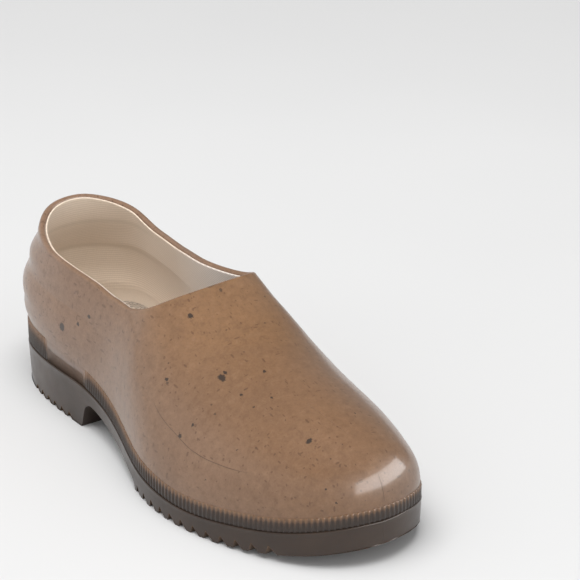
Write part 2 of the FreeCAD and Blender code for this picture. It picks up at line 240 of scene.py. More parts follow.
def on_form(sb, phi, side):
    """A point of the closed form: station of its base, angle up from the base (0) to the ridge (pi/2)."""
    p, q = arch_p(sb), arch_q(sb)
    v = np.sin(phi) ** (2 / p)
    f = np.clip(np.cos(phi), 0, 1) ** (2 / q)
    zb = band_top(sb)
    z = zb + v * (ridge(sb) - zb)
    ln = lean(z)
    s = sb.copy()
    for _ in range(25):
        s = sb + ln * np.clip(1 - s / 110.0, 0, 1) ** 2
    e, m = edge_x(sb, side), mid_x(sb)
    # near the heel tip the crest is nil, so the two sides meet at the outline's own middle
    u = np.clip((z - zb) / 26.0, 0, 1)
    x = m + (e - m) * f + side * bulge(sb) * 4 * u * (1 - u) * f
    return s, x, z


def over_plan(s, x, side):
    """Height of the closed form over a place of the plan."""
    e, m = edge_x(s, side), mid_x(s)
    u = np.clip(np.abs(x - m) / np.maximum(np.abs(e - m), 1e-6), 0, 1)
    v = (1 - u ** arch_q(s)) ** (1 / arch_p(s))
    zb = band_top(s)
    return zb + v * (ridge(s) - zb)


KNOT_S = np.array([S_LO, 15.0, 40.0, 70.0, 96.0, 120.0, 144.0, 168.0, 200.0, 228.0, 247.0, S_HI])
K_THROAT = 7
PER = 24
W = np.arange((len(KNOT_S) - 1) * PER + 1) / PER
WT = K_THROAT * PER
WN = len(W) - 1
ROWS = 88
axis_s = pchip([7, 8, 9, 10, 11], [THROAT_S, 175.0, 203.0, 222.0, 240.0])


def rim_angle(sb, side):
    lo, hi = np.zeros_like(sb), np.full_like(sb, math.pi / 2)
    for _ in range(48):
        c = 0.5 * (lo + hi)
        s, x, z = on_form(sb, c, side)
        over = z > top_z(s, x) - RIM_DROP
        hi, lo = np.where(over, c, hi), np.where(over, lo, c)
    return 0.5 * (lo + hi)


def guides(side):
    """Points (w, row) of the outer face: guides run from the foot of the upper to the rim or to the ridge."""
    h = LAT if side < 0 else MED
    L = np.r_[0, np.cumsum(np.hypot(*np.diff(h, axis=0).T))]
    kl = np.interp(KNOT_S, h[:, 0], L)
    kl[0], kl[-1] = 0, L[-1]
    lw = pchip(np.arange(len(KNOT_S)), kl)(W)
    bs, bx = np.interp(lw, L, h[:, 0]), np.interp(lw, L, h[:, 1])
    P = np.zeros((WN + 1, ROWS + 1, 3))
    # rim stations for the rear guides
    t = np.linspace(0, 1, 1500)
    rs = THROAT_S - (THROAT_S - 40.0) * (1 - t) ** 2
    ra = rim_angle(rs, side)
    ra[-1] = math.pi / 2
    r3 = np.array(on_form(rs, ra, side)).T
    rl = np.r_[0, np.cumsum(np.linalg.norm(np.diff(r3, axis=0), axis=1))]
    rw = pchip([2, 3, 4, 7], [0, np.interp(70.0, rs, rl), np.interp(96.0, rs, rl), rl[-1]])
    w = W[: WT + 1]
    want = np.interp(rw(w), rl, rs)
    s_r = np.where(w < 2, bs[: WT + 1], want)
    s_r[-1] = THROAT_S
    f_r = rim_angle(s_r, side)
    f_r[-1] = math.pi / 2
    g = lambda a: 1 - np.clip(np.cos(a), 0, 1) ** 0.87

    def rear(i, lam):
        sb = bs[i] + (s_r[i] - bs[i]) * g(lam * f_r[i]) / g(f_r[i])
        return np.array(on_form(sb, lam * f_r[i], side)).T

    lam = np.linspace(0, 1, 160)
    for i in range(WT + 1):
        q = rear(i, lam)
        l = np.r_[0, np.cumsum(np.linalg.norm(np.diff(q, axis=0), axis=1))]
        P[i] = rear(i, np.interp(np.linspace(0, l[-1], ROWS + 1), l, lam))
    a_s = axis_s(W)
    a_x = mid_x(a_s)

    def front(i, th):
        k = 1 - np.cos(th)
        s, x = bs[i] + (a_s[i] - bs[i]) * k, bx[i] + (a_x[i] - bx[i]) * k
        return np.c_[s, x, over_plan(s, x, side)]

    th = np.linspace(0, math.pi / 2, 200)
    for i in range(WT + 1, WN + 1):
        q = front(i, th)
        l = np.r_[0, np.cumsum(np.linalg.norm(np.diff(q, axis=0), axis=1))]
        P[i] = front(i, np.interp(np.linspace(0, l[-1], ROWS + 1), l, th))
    # the plan normal of the outline at each guide's foot
    q = np.column_stack([bs, bx])
    tng = np.gradient(q, axis=0)
    if side < 0:
        nrm = np.c_[-tng[:, 1], tng[:, 0]] * np.sign(1)
    else:
        nrm = np.c_[tng[:, 1], -tng[:, 0]]
    nrm /= np.linalg.norm(nrm, axis=1)[:, None] + 1e-12
    sign = np.sign(np.median(nrm[40:200, 1]) * side)
    nrm *= sign
    nrm[0] = (-1, 0)
    nrm[-1] = (1, 0)
    fade = heel_steps(P[:, :, 0], P[:, :, 2])
    plain = P.copy()
    P[:, :, 0] += nrm[:, None, 0] * fade
    P[:, :, 1] += nrm[:, None, 1] * fade
    return P, plain, lw


GL, PL, LL = guides(-1)
GM, PM, LM = guides(1)
for a_, b_ in ((GL, GM), (PL, PM)):
    a_[0] = b_[0] = 0.5 * (a_[0] + b_[0])
    a_[WN] = b_[WN] = 0.5 * (a_[WN] + b_[WN])
    a_[WT:, ROWS] = b_[WT:, ROWS] = 0.5 * (a_[WT:, ROWS] + b_[WT:, ROWS])


def world(p):
    p = np.asarray(p, float)
    return np.c_[p[:, 1] + ORIGIN_X, LENGTH / 2 - p[:, 0] + ORIGIN_Y, p[:, 2]] / 1000


class Builder:
    def __init__(self):
        self.v, self.f, self.n = [], [], 0

    def add(self, pts):
        pts = np.asarray(pts, float).reshape(-1, 3)
        i = np.arange(self.n, self.n + len(pts))
        self.v.append(pts)
        self.n += len(pts)
        return i

    def quads(self, a, flip=False):
        """Faces over a 2-D array of vertex indices, without the ones that have no area."""
        q = np.stack([a[:-1, :-1], a[1:, :-1], a[1:, 1:], a[:-1, 1:]], -1).reshape(-1, 4)
        if flip:
            q = q[:, ::-1]
        for r in q.tolist():
            k = [c for j, c in enumerate(r) if c != r[j - 1]]
            if len(set(k)) == len(k) and len(k) > 2:
                self.f.append(k)

    def verts(self):
        return np.vstack(self.v)


def normals_of(v, faces):
    n = np.zeros_like(v)
    for size in (3, 4):
        f = np.array([q for q in faces if len(q) == size], int)
        if len(f) == 0:
            continue
        if size == 3:
            c = np.cross(v[f[:, 1]] - v[f[:, 0]], v[f[:, 2]] - v[f[:, 0]])
        else:
            c = np.cross(v[f[:, 2]] - v[f[:, 0]], v[f[:, 3]] - v[f[:, 1]])
        for k in range(size):
            np.add.at(n, f[:, k], c)
    return n / (np.linalg.norm(n, axis=1)[:, None] + 1e-12)


def make_piece(name, pts, faces, material, uv=None, mm=True, sharp=None, attrs=None):
    me = bpy.data.meshes.new(name)
    co = world(pts) if mm else np.asarray(pts, float)
    me.from_pydata(co.tolist(), [], faces)
    me.update()
    if uv is not None:
        layer = me.uv_layers.new(name="surface")
        idx = np.zeros(len(me.loops), np.int64)
        me.loops.foreach_get("vertex_index", idx)
        layer.data.foreach_set("uv", np.asarray(uv, np.float32)[idx].ravel())
    for k, val in (attrs or {}).items():
        at = me.attributes.new(k, "FLOAT", "POINT")
        at.data.foreach_set("value", np.asarray(val, np.float32))
    me.polygons.foreach_set("use_smooth", [True] * len(me.polygons))
    if sharp:
        me.set_sharp_from_angle(angle=math.radians(sharp))
    me.materials.append(material)
    o = bpy.data.objects.new(name, me)
    SCENE.collection.objects.link(o)
    return o


def outward(faces, pts):
    """Turns all faces over if the closed mesh is inside out (pts in s, x, z; world mirrors s)."""
    w = world(pts)
    vol = 0.0
    for f in faces[:]:
        a = w[f[0]]
        for k in range(1, len(f) - 1):
            vol += np.dot(a, np.cross(w[f[k]], w[f[k + 1]]))
    return [f[::-1] for f in faces] if vol < 0 else faces


# outer skin as one mesh, to get its normals
skin = Builder()
iL = skin.add(GL.reshape(-1, 3)).reshape(WN + 1, ROWS + 1)
iM = skin.add(GM.reshape(-1, 3)).reshape(WN + 1, ROWS + 1)
iM[0], iM[WN] = iL[0], iL[WN]
iM[WT:, ROWS] = iL[WT:, ROWS]
skin.quads(iL)
skin.quads(iM, flip=True)
SV = skin.verts()
SN = normals_of(SV, skin.f)
if np.mean(SN[iL[40:100, 30], 1]) > 0:
    SN = -SN


# the inside carries no heel steps
SV0 = np.vstack([PL.reshape(-1, 3), PM.reshape(-1, 3)])
SN0 = normals_of(SV0, skin.f)
if np.mean(SN0[iL[40:100, 30], 1]) > 0:
    SN0 = -SN0


def depth(t):
    """The skin without its steps, moved inwards by t."""
    p = SV0 - SN0 * t
    for g in (iL, iM):
        n2 = SN0[g[:, 0]].copy()
        n2[:, 2] = 0
        n2 /= np.linalg.norm(n2, axis=1)[:, None]
        p[g[:, 0]] = SV0[g[:, 0]] - n2 * t
        p[g[:, 0], 2] = SV0[g[:, 0], 2]
    return p


RIM = np.r_[iL[WT:0:-1, ROWS], iL[0, ROWS], iM[1:WT, ROWS]]
rim_p = SV[RIM]
rim_t = np.roll(rim_p, -1, 0) - np.roll(rim_p, 1, 0)
rim_t /= np.linalg.norm(rim_t, axis=1)[:, None]
rim_n = SN[RIM]
rim_u = np.cross(rim_t, rim_n)
rim_u /= np.linalg.norm(rim_u, axis=1)[:, None]
below = np.r_[iL[WT:0:-1, ROWS - 3], iL[0, ROWS - 3], iM[1:WT, ROWS - 3]]
if np.mean(np.sum(rim_u * (rim_p - SV[below]), 1)) < 0:
    rim_u = -rim_u


def foot_ring(p, z):
    """The foot row of a skin, closed round the shoe, at another height."""
    idx = np.r_[iL[:, 0], iM[WN - 1:0:-1, 0]]
    q = p[idx].copy()
    q[:, 2] = z(np.clip(q[:, 0], 0, LENGTH))
    return idx, q


def rim_ring(t, up):
    """Rim loop at a depth t inside the outer face and a height up above the rim row."""
    return rim_p - rim_n * t + rim_u * up


# ------------------------------------------------------------------ materials
def new_material(name):
    m = bpy.data.materials.new(name)
    m.use_nodes = True
    t = m.node_tree
    b = next(n for n in t.nodes if n.type == "BSDF_PRINCIPLED")
    return m, t, b


def add(t, kind, **kw):
    n = t.nodes.new(kind)
    for k, v in kw.items():
        setattr(n, k, v)
    return n


def math_node(t, op, a, b=None, c=None, clamp=False):
    n = add(t, "ShaderNodeMath", operation=op, use_clamp=clamp)
    for i, q in enumerate((a, b, c)):
        if q is None:
            continue
        if isinstance(q, (int, float)):
            n.inputs[i].default_value = q
        else:
            t.links.new(q, n.inputs[i])
    return n.outputs[0]


def mix(t, fac, a, b, blend="MIX"):
    n = add(t, "ShaderNodeMix", data_type="RGBA", blend_type=blend)
    for q, i in ((fac, 0), (a, 6), (b, 7)):
        if isinstance(q, (int, float)):
            n.inputs[i].default_value = q
        elif isinstance(q, (tuple, list)):
            n.inputs[i].default_value = tuple(q) + (1.0,) * (4 - len(q))
        else:
            t.links.new(q, n.inputs[i])
    return n.outputs[2]


def ramp(t, fac, stops, mode="LINEAR"):
    n = add(t, "ShaderNodeValToRGB")
    n.color_ramp.interpolation = mode
    while len(n.color_ramp.elements) < len(stops):
        n.color_ramp.elements.new(0.5)
    for e, (p, c) in zip(n.color_ramp.elements, stops):
        e.position = p
        e.color = tuple(c) + (1.0,) if len(c) == 3 else tuple(c)
    t.links.new(fac, n.inputs[0])
    return n.outputs[0]


def remap(t, v, a, b, c=0.0, d=1.0, kind="LINEAR"):
    n = add(t, "ShaderNodeMapRange", interpolation_type=kind)
    t.links.new(v, n.inputs[0])
    for i, q in enumerate((a, b, c, d)):
        n.inputs[i + 1].default_value = q
    return n.outputs[0]


def coords(t, scale=(1, 1, 1), rot=(0, 0, 0), loc=(0, 0, 0), source="Object"):
    tc = add(t, "ShaderNodeTexCoord")
    mp = add(t, "ShaderNodeMapping")
    mp.inputs["Scale"].default_value = scale
    mp.inputs["Rotation"].default_value = rot
    mp.inputs["Location"].default_value = loc
    t.links.new(tc.outputs[source], mp.inputs["Vector"])
    return mp.outputs[0]


def noise(t, vec, scale, detail=2.0, rough=0.5, dist=0.0):
    n = add(t, "ShaderNodeTexNoise")
    n.inputs["Scale"].default_value = scale
    n.inputs["Detail"].default_value = detail
    n.inputs["Roughness"].default_value = rough
    n.inputs["Distortion"].default_value = dist
    t.links.new(vec, n.inputs["Vector"])
    return n.outputs["Fac"]


def voronoi(t, vec, scale, out="Distance", rnd=1.0):
    n = add(t, "ShaderNodeTexVoronoi")
    n.inputs["Scale"].default_value = scale
    n.inputs["Randomness"].default_value = rnd
    t.links.new(vec, n.inputs["Vector"])
    return n


def bump(t, b, height, dist, strength=1.0, normal=None):
    n = add(t, "ShaderNodeBump")
    n.inputs["Strength"].default_value = strength
    n.inputs["Distance"].default_value = dist
    t.links.new(height, n.inputs["Height"])
    if normal is not None:
        t.links.new(normal, n.inputs["Normal"])
    t.links.new(n.outputs[0], b.inputs["Normal"])
    return n.outputs[0]


# plant-fibre flecks that the moulding shows: place in metres, half sizes in mm along the shoe and across it, tone
FLECKS = [
    ((-0.02116, -0.05155, 0.06237), 1.55, 0.95, 0.90),
    ((-0.01878, -0.05041, 0.06376), 0.80, 0.50, 0.80),
    ((-0.01859, -0.02105, 0.07981), 0.95, 0.70, 0.95),
    ((-0.03936, -0.05647, 0.0466), 0.45, 0.50, 0.90),
    ((-0.04389, -0.05318, 0.0411), 0.65, 0.55, 0.80),
    ((-0.03777, -0.03171, 0.05801), 0.55, 0.55, 0.80),
    ((-0.03817, -0.03302, 0.05691), 0.55, 0.30, 0.60),
    ((-0.00459, -0.06023, 0.06466), 0.45, 0.45, 0.70),
    ((-0.01938, -0.06465, 0.05917), 0.40, 0.45, 0.80),
    ((-0.01051, -0.0751, 0.05974), 0.40, 0.35, 0.75),
    ((-0.01857, -0.07372, 0.05711), 0.30, 0.30, 0.80),
    ((-0.03154, -0.06239, 0.05236), 0.30, 0.35, 0.60),
    ((-0.00068, -0.03803, 0.07254), 0.25, 0.25, 0.60),
    ((-0.03734, 0.01605, 0.06333), 0.25, 0.25, 0.60),
    ((-0.03708, -0.00163, 0.06896), 0.20, 0.25, 0.70),
    ((-0.01052, -0.10437, 0.05174), 0.62, 1.05, 0.90),
    ((-0.04226, 0.06095, 0.0483), 1.30, 1.30, 0.85),
    ((-0.04011, 0.04811, 0.05423), 0.70, 0.70, 0.75),
    ((-0.03816, 0.04003, 0.0605), 0.75, 0.60, 0.80),
    ((-0.00059, -0.01774, 0.08693), 0.60, 0.55, 0.45),
    ((-0.0327, -0.08203, 0.04379), 0.35, 0.35, 0.50),
    ((-0.04809, -0.04517, 0.03468), 0.20, 0.25, 0.60),
    ((-0.03825, 0.05349, 0.06784), 0.20, 0.25, 0.60),
    ((-0.0409, 0.06248, 0.05732), 0.20, 0.25, 0.50),
    ((-0.03477, 0.03699, 0.07497), 0.20, 0.25, 0.50),
    ((0.01595, -0.1002, 0.05562), 0.40, 0.25, 0.80),
    ((-0.01078, -0.1255, 0.032), 0.25, 0.30, 0.70),
    ((-0.01341, -0.12157, 0.03743), 0.30, 0.30, 0.70),
    ((-0.01255, -0.08904, 0.05567), 0.20, 0.20, 0.60),
    ((0.00946, -0.0672, 0.0634), 0.25, 0.25, 0.50),
    ((-0.00727, -0.03293, 0.07468), 0.20, 0.25, 0.60),
    ((-0.04101, -0.0172, 0.05842), 0.20, 0.20, 0.50),
    ((-0.04067, 0.02201, 0.03427), 0.20, 0.20, 0.50),
    ((-0.04355, -0.07354, 0.0287), 0.25, 0.30, 0.40),
    ((0.03836, -0.06111, 0.05063), 0.20, 0.25, 0.40),
]


def rubber(name, with_band=False):
    m, t, b = new_material(name)
    tc = add(t, "ShaderNodeTexCoord")
    obj = tc.outputs["Object"]
    sep = add(t, "ShaderNodeSeparateXYZ")
    t.links.new(obj, sep.inputs[0])
    along = remap(t, sep.outputs[1], -0.13, 0.13)
    body = ramp(t, along, [(0.0, (0.210, 0.111, 0.055)), (0.30, (0.192, 0.103, 0.052)), (0.50, (0.210, 0.112, 0.053)), (0.66, (0.232, 0.134, 0.080)), (0.84, (0.256, 0.158, 0.103)), (1.0, (0.268, 0.170, 0.114))])
    # warmer and lighter where the wall is thin over the instep; greyer and pinker low on the lateral side, a painted
    # sheen of light reflected there
    high = remap(t, sep.outputs[2], 0.045, 0.085, 0.0, 0.55, "SMOOTHSTEP")
    front = remap(t, sep.outputs[1], 0.03, -0.02, kind="SMOOTHSTEP")
    body = mix(t, math_node(t, "MULTIPLY", high, front), body, (0.300, 0.156, 0.067))
    # painted sheen: paler, greyer colour low on the lateral side
    lowside_sheen = remap(t, sep.outputs[0], -0.015, -0.045, 0.0, 0.45, "SMOOTHSTEP")
    body = mix(t, lowside_sheen, body, (0.228, 0.141, 0.093))
    # painted shade: the vamp darker and more saturated towards its medial side
    medial = math_node(t, "MULTIPLY", remap(t, sep.outputs[0], 0.0, 0.032, 0.0, 0.50, "SMOOTHSTEP"), front)
    body = mix(t, medial, body, (0.130, 0.072, 0.037))
    cloud = noise(t, obj, 24.0, 5.0, 0.60, 0.7)
    body = mix(t, remap(t, cloud, 0.36, 0.66, 0.0, 0.42), body, (0.157, 0.085, 0.046))
    cloud2 = noise(t, obj, 11.0, 2.0, 0.5, 0.2)
    body = mix(t, remap(t, cloud2, 0.40, 0.66, 0.0, 0.26), body, (0.264, 0.154, 0.093))
    mottle = noise(t, obj, 290.0, 5.0, 0.72, 0.3)
    body = mix(t, remap(t, mottle, 0.50, 0.70, 0.0, 0.55), body, (0.128, 0.067, 0.034))
    body = mix(t, remap(t, mottle, 0.46, 0.28, 0.0, 0.28), body, (0.320, 0.194, 0.114))
    grain = noise(t, obj, 1000.0, 3.0, 0.6)
    body = mix(t, remap(t, grain, 0.42, 0.72, 0.0, 0.30), body, (0.120, 0.063, 0.035))
    # fine plant fibres: thin stretched cells, in three lay directions
    for k, (rot, sc) in enumerate((((0.4, 0.2, 0.7), (1, 0.24, 0.8)), ((1.1, -0.5, 2.1), (0.26, 1, 0.8)), ((0.2, 1.2, -0.6), (0.9, 0.8, 0.28)))):
        v = voronoi(t, coords(t, sc, rot, (0.13 * k, 0.07, 0.03)), 560.0)
        sepc = add(t, "ShaderNodeSeparateColor")
        t.links.new(v.outputs["Color"], sepc.inputs[0])
        rare = math_node(t, "LESS_THAN", sepc.outputs[0], 0.30)
        size = math_node(t, "MULTIPLY_ADD", sepc.outputs[1], 0.20, 0.05)
        spot = remap(t, math_node(t, "SUBTRACT", v.outputs["Distance"], size), 0.05, 0.0)
        body = mix(t, math_node(t, "MULTIPLY", math_node(t, "MULTIPLY", spot, rare), 0.50), body, (0.080, 0.040, 0.021))
    # small dark crumbs
    wob = noise(t, obj, 900.0, 2.0, 0.6)
    for scale, few, rad, dark in ((120.0, 0.07, 0.085, 0.75), (260.0, 0.07, 0.13, 0.62)):
        v = voronoi(t, obj, scale)
        sepc = add(t, "ShaderNodeSeparateColor")
        t.links.new(v.outputs["Color"], sepc.inputs[0])
        rare = math_node(t, "LESS_THAN", sepc.outputs[0], few)
        size = math_node(t, "MULTIPLY", sepc.outputs[1], rad)
        d = math_node(t, "ADD", v.outputs["Distance"], math_node(t, "MULTIPLY_ADD", wob, 0.14, -0.07))
        spot = remap(t, math_node(t, "SUBTRACT", d, size), 0.03, 0.0)
        body = mix(t, math_node(t, "MULTIPLY", math_node(t, "MULTIPLY", spot, rare), dark), body, (0.045, 0.028, 0.018))
    if not with_band:
        # the large flecks, ragged at the edge
        rag = add(t, "ShaderNodeTexNoise")
        rag.inputs["Scale"].default_value = 1100.0
        rag.inputs["Detail"].default_value = 2.0
        t.links.new(obj, rag.inputs["Vector"])
        off = add(t, "ShaderNodeVectorMath", operation="MULTIPLY_ADD")
        t.links.new(rag.outputs["Color"], off.inputs[0])
        off.inputs[1].default_value = (0.0016, 0.0016, 0.0016)
        off.inputs[2].default_value = (-0.0008, -0.0008, -0.0008)
        place = add(t, "ShaderNodeVectorMath", operation="ADD")
        t.links.new(obj, place.inputs[0])
        t.links.new(off.outputs[0], place.inputs[1])
        for lo_tone, hi_tone in ((0.0, 0.65), (0.65, 2.0)):
            least = None
            for (cx, cy, cz), ra, rb, tone in FLECKS:
                if not lo_tone <= tone < hi_tone:
                    continue
                k = (620.0 / rb, 620.0 / ra, 620.0 / rb)
                v = add(t, "ShaderNodeVectorMath", operation="MULTIPLY_ADD")
                t.links.new(place.outputs[0], v.inputs[0])
                v.inputs[1].default_value = k
                v.inputs[2].default_value = (-cx * k[0], -cy * k[1], -cz * k[2])
                ln = add(t, "ShaderNodeVectorMath", operation="LENGTH")
                t.links.new(v.outputs[0], ln.inputs[0])
                least = ln.outputs["Value"] if least is None else math_node(t, "MINIMUM", least, ln.outputs["Value"])
            body = mix(t, remap(t, least, 1.15, 0.80, 0.0, 0.92 if hi_tone > 1 else 0.62), body, (0.030, 0.020, 0.015))
    at = add(t, "ShaderNodeAttribute", attribute_name="low", attribute_type="GEOMETRY")
    if with_band:
        edge = math_node(t, "MULTIPLY_ADD", noise(t, obj, 60.0, 2.0), 0.36, math_node(t, "SUBTRACT", at.outputs["Fac"], 0.18))
        tone = ramp(t, edge, [(0.0, (0.016, 0.010, 0.008)), (0.40, (0.026, 0.017, 0.012)), (0.66, (0.062, 0.036, 0.022)), (0.88, (0.140, 0.076, 0.040)), (1.0, (0.205, 0.115, 0.066))])
        groove = add(t, "ShaderNodeAttribute", attribute_name="rib", attribute_type="GEOMETRY")
        # painted shade: the grooves between the upright ribs are darkened
        tone = mix(t, remap(t, groove.outputs["Fac"], 0.0, 0.8, 0.85, 0.0), tone, (0.022, 0.013, 0.009))
        body = mix(t, remap(t, at.outputs["Fac"], 0.66, 1.0, 0.05, 1.0), tone, body)
    else:
            body = mix(t, math_node(t, "MULTIPLY", math_node(t, "POWER", at.outputs["Fac"], 2.2), 0.92), body, (0.050, 0.029, 0.019))
    t.links.new(body, b.inputs["Base Color"])
    rough = noise(t, obj, 60.0, 3.0, 0.6)
    t.links.new(remap(t, rough, 0.3, 0.7, 0.34, 0.44), b.inputs["Roughness"])
    b.inputs["Specular IOR Level"].default_value = 0.28
    b.inputs["Coat Weight"].default_value = 0.45 if with_band else 0.60
    b.inputs["Coat Roughness"].default_value = 0.14
    b.inputs["Coat IOR"].default_value = 1.5
    b.inputs["Subsurface Weight"].default_value = 0.08
    b.inputs["Subsurface Radius"].default_value = (1.0, 0.5, 0.3)
    b.inputs["Subsurface Scale"].default_value = 0.0015
    fine = noise(t, obj, 1500.0, 2.0, 0.5)
    wavy = noise(t, obj, 45.0, 2.0, 0.5)
    n1 = add(t, "ShaderNodeBump")
    n1.inputs["Strength"].default_value = 0.25
    n1.inputs["Distance"].default_value = 0.0003
    t.links.new(wavy, n1.inputs["Height"])
    bump(t, b, fine, 0.00002, 0.5, n1.outputs[0])
    return m


def sole_rubber():
    m, t, b = new_material("sole_rubber_dark")
    tc = add(t, "ShaderNodeTexCoord")
    obj = tc.outputs["Object"]
    body = mix(t, remap(t, noise(t, obj, 30.0, 4.0, 0.55), 0.35, 0.7), (0.030, 0.018, 0.012), (0.052, 0.032, 0.021))
    body = mix(t, remap(t, noise(t, obj, 700.0, 3.0, 0.6), 0.4, 0.72, 0.0, 0.5), body, (0.036, 0.025, 0.020))
    thin = add(t, "ShaderNodeAttribute", attribute_name="thin", attribute_type="GEOMETRY")
    body = mix(t, math_node(t, "MULTIPLY", thin.outputs["Fac"], 0.75), body, (0.150, 0.086, 0.040))
    t.links.new(body, b.inputs["Base Color"])
    t.links.new(remap(t, noise(t, obj, 90.0, 3.0, 0.6), 0.3, 0.7, 0.30, 0.44), b.inputs["Roughness"])
    b.inputs["Specular IOR Level"].default_value = 0.28
    b.inputs["Coat Weight"].default_value = 0.30
    b.inputs["Coat Roughness"].default_value = 0.14
    b.inputs["Subsurface Weight"].default_value = 0.04
    b.inputs["Subsurface Radius"].default_value = (1.0, 0.5, 0.3)
    b.inputs["Subsurface Scale"].default_value = 0.001
    stip = add(t, "ShaderNodeAttribute", attribute_name="stipple", attribute_type="GEOMETRY")
    dots = voronoi(t, obj, 900.0)
    n1 = add(t, "ShaderNodeBump")
    n1.inputs["Distance"].default_value = 0.0004
    n1.inputs["Strength"].default_value = 1.0
    t.links.new(math_node(t, "MULTIPLY", dots.outputs["Distance"], stip.outputs["Fac"]), n1.inputs["Height"])
    bump(t, b, noise(t, obj, 1200.0, 3.0, 0.6), 0.00003, 0.7, n1.outputs[0])
    return m


def knit(name="lining_knit_beige"):
    m, t, b = new_material(name)
    uvn = add(t, "ShaderNodeUVMap", uv_map="surface")
    sep = add(t, "ShaderNodeSeparateXYZ")
    t.links.new(uvn.outputs[0], sep.inputs[0])
    tc = add(t, "ShaderNodeTexCoord")
    obj = tc.outputs["Object"]
    so = add(t, "ShaderNodeSeparateXYZ")
    t.links.new(obj, so.inputs[0])
    u, v = sep.outputs[0], sep.outputs[1]
    wob = noise(t, obj, 120.0, 2.0, 0.5)
    rows = math_node(t, "SINE", math_node(t, "ADD", math_node(t, "MULTIPLY", v, 2 * math.pi / 1.20), math_node(t, "MULTIPLY", wob, 1.6)))
    wales = math_node(t, "SINE", math_node(t, "ADD", math_node(t, "MULTIPLY", u, 2 * math.pi / 1.05), math_node(t, "MULTIPLY", wob, 2.0)))
    rows01 = math_node(t, "MULTIPLY_ADD", rows, 0.5, 0.5)
    wales01 = math_node(t, "MULTIPLY_ADD", wales, 0.5, 0.5)
    stitch = math_node(t, "ADD", math_node(t, "MULTIPLY", rows01, 0.65), math_node(t, "MULTIPLY", math_node(t, "MULTIPLY", rows01, wales01), 0.5))
    along = remap(t, so.outputs[1], -0.06, 0.13)
    base = ramp(t, along, [(0.0, (0.70, 0.64, 0.60)), (0.40, (0.81, 0.735, 0.675)), (0.64, (0.80, 0.665, 0.535)), (1.0, (0.86, 0.735, 0.60))])
    dark = mix(t, 1.0, base, mix(t, along, (0.74, 0.72, 0.71), (0.90, 0.885, 0.87)), "MULTIPLY")
    col = mix(t, remap(t, stitch, 0.05, 0.85), dark, base)
    col = mix(t, remap(t, noise(t, obj, 26.0, 3.0, 0.55), 0.4, 0.7, 0.0, 0.18), col, (0.78, 0.66, 0.53))
    fuzz = noise(t, obj, 1300.0, 3.0, 0.7)
    col = mix(t, remap(t, fuzz, 0.44, 0.72, 0.0, 0.22), col, (0.60, 0.50, 0.40))
    # two soft darker bands at the heel, painted shadow of the moulded steps on the outside
    heel = remap(t, so.outputs[1], 0.075, 0.10, kind="SMOOTHSTEP")
    for zc, wd in ((0.0725, 0.0022), (0.0565, 0.0022)):
        d = math_node(t, "ABSOLUTE", math_node(t, "SUBTRACT", so.outputs[2], zc))
        col = mix(t, math_node(t, "MULTIPLY", remap(t, d, wd, 0.0, kind="SMOOTHSTEP"), math_node(t, "MULTIPLY", heel, 0.34)), col, (0.58, 0.48, 0.36))
    t.links.new(col, b.inputs["Base Color"])
    b.inputs["Roughness"].default_value = 0.92
    b.inputs["Specular IOR Level"].default_value = 0.2
    b.inputs["Sheen Weight"].default_value = 0.25
    b.inputs["Sheen Roughness"].default_value = 0.5
    bump(t, b, stitch, 0.00008, 0.5)
    return m


def felt():
    m, t, b = new_material("felt_speckled")
    tc = add(t, "ShaderNodeTexCoord")
    obj = tc.outputs["Object"]
    n1 = noise(t, obj, 800.0, 3.0, 0.7)
    col = ramp(t, remap(t, n1, 0.34, 0.66), [(0.0, (0.15, 0.12, 0.095)), (0.45, (0.36, 0.30, 0.245)), (1.0, (0.68, 0.60, 0.51))])
    v = voronoi(t, coords(t, (1, 0.25, 1), (0, 0, 0.6)), 900.0)
    col = mix(t, remap(t, v.outputs["Distance"], 0.25, 0.05, 0.0, 0.5), col, (0.66, 0.60, 0.52))
    t.links.new(col, b.inputs["Base Color"])
    b.inputs["Roughness"].default_value = 0.95
    b.inputs["Specular IOR Level"].default_value = 0.15
    b.inputs["Sheen Weight"].default_value = 0.3
    bump(t, b, n1, 0.0006, 0.9)
    return m


def foam():
    m, t, b = new_material("footbed_foam_grey")
    tc = add(t, "ShaderNodeTexCoord")
    obj = tc.outputs["Object"]
    v = voronoi(t, obj, 1400.0)
    col = mix(t, remap(t, v.outputs["Distance"], 0.1, 0.6), (0.33, 0.31, 0.28), (0.60, 0.57, 0.52))
    t.links.new(col, b.inputs["Base Color"])
    b.inputs["Roughness"].default_value = 0.85
    bump(t, b, v.outputs["Distance"], 0.0003, 0.8)
    return m


MAT_UPPER = rubber("upper_rubber_tan")
MAT_BAND = rubber("band_rubber_graded", True)
MAT_SOLE = sole_rubber()
MAT_KNIT = knit()
MAT_FELT = felt()
MAT_FOAM = foam()

# ------------------------------------------------------------------ upper: one closed moulding with a rounded rim
up = Builder()
o_idx = up.add(SV)
inner = depth(WALL_T)
i_idx = up.add(inner)
OL, OM = iL, iM
IL, IM = iL + len(SV), iM + len(SV)
up.quads(OL)
up.quads(OM, flip=True)
up.quads(IL, flip=True)
up.quads(IM)
loops = [RIM]
for k in range(1, 8):
    a = math.pi * k / 8
    loops.append(up.add(rim_ring(WALL_T / 2 * (1 - math.cos(a)), WALL_T / 2 * math.sin(a))))
loops.append(RIM + len(SV))
loops = np.array(loops)
loops = np.c_[loops, loops[:, :1]]
up.quads(loops, flip=False)
foot_idx, foot_out = foot_ring(SV, welt)
_, foot_in = foot_ring(inner, welt)
a, bb = up.add(foot_out), up.add(foot_in)
lp = np.array([foot_idx, a, bb, foot_idx + len(SV)])
lp = np.c_[lp, lp[:, :1]]
up.quads(lp, flip=True)
UV_ = up.verts()


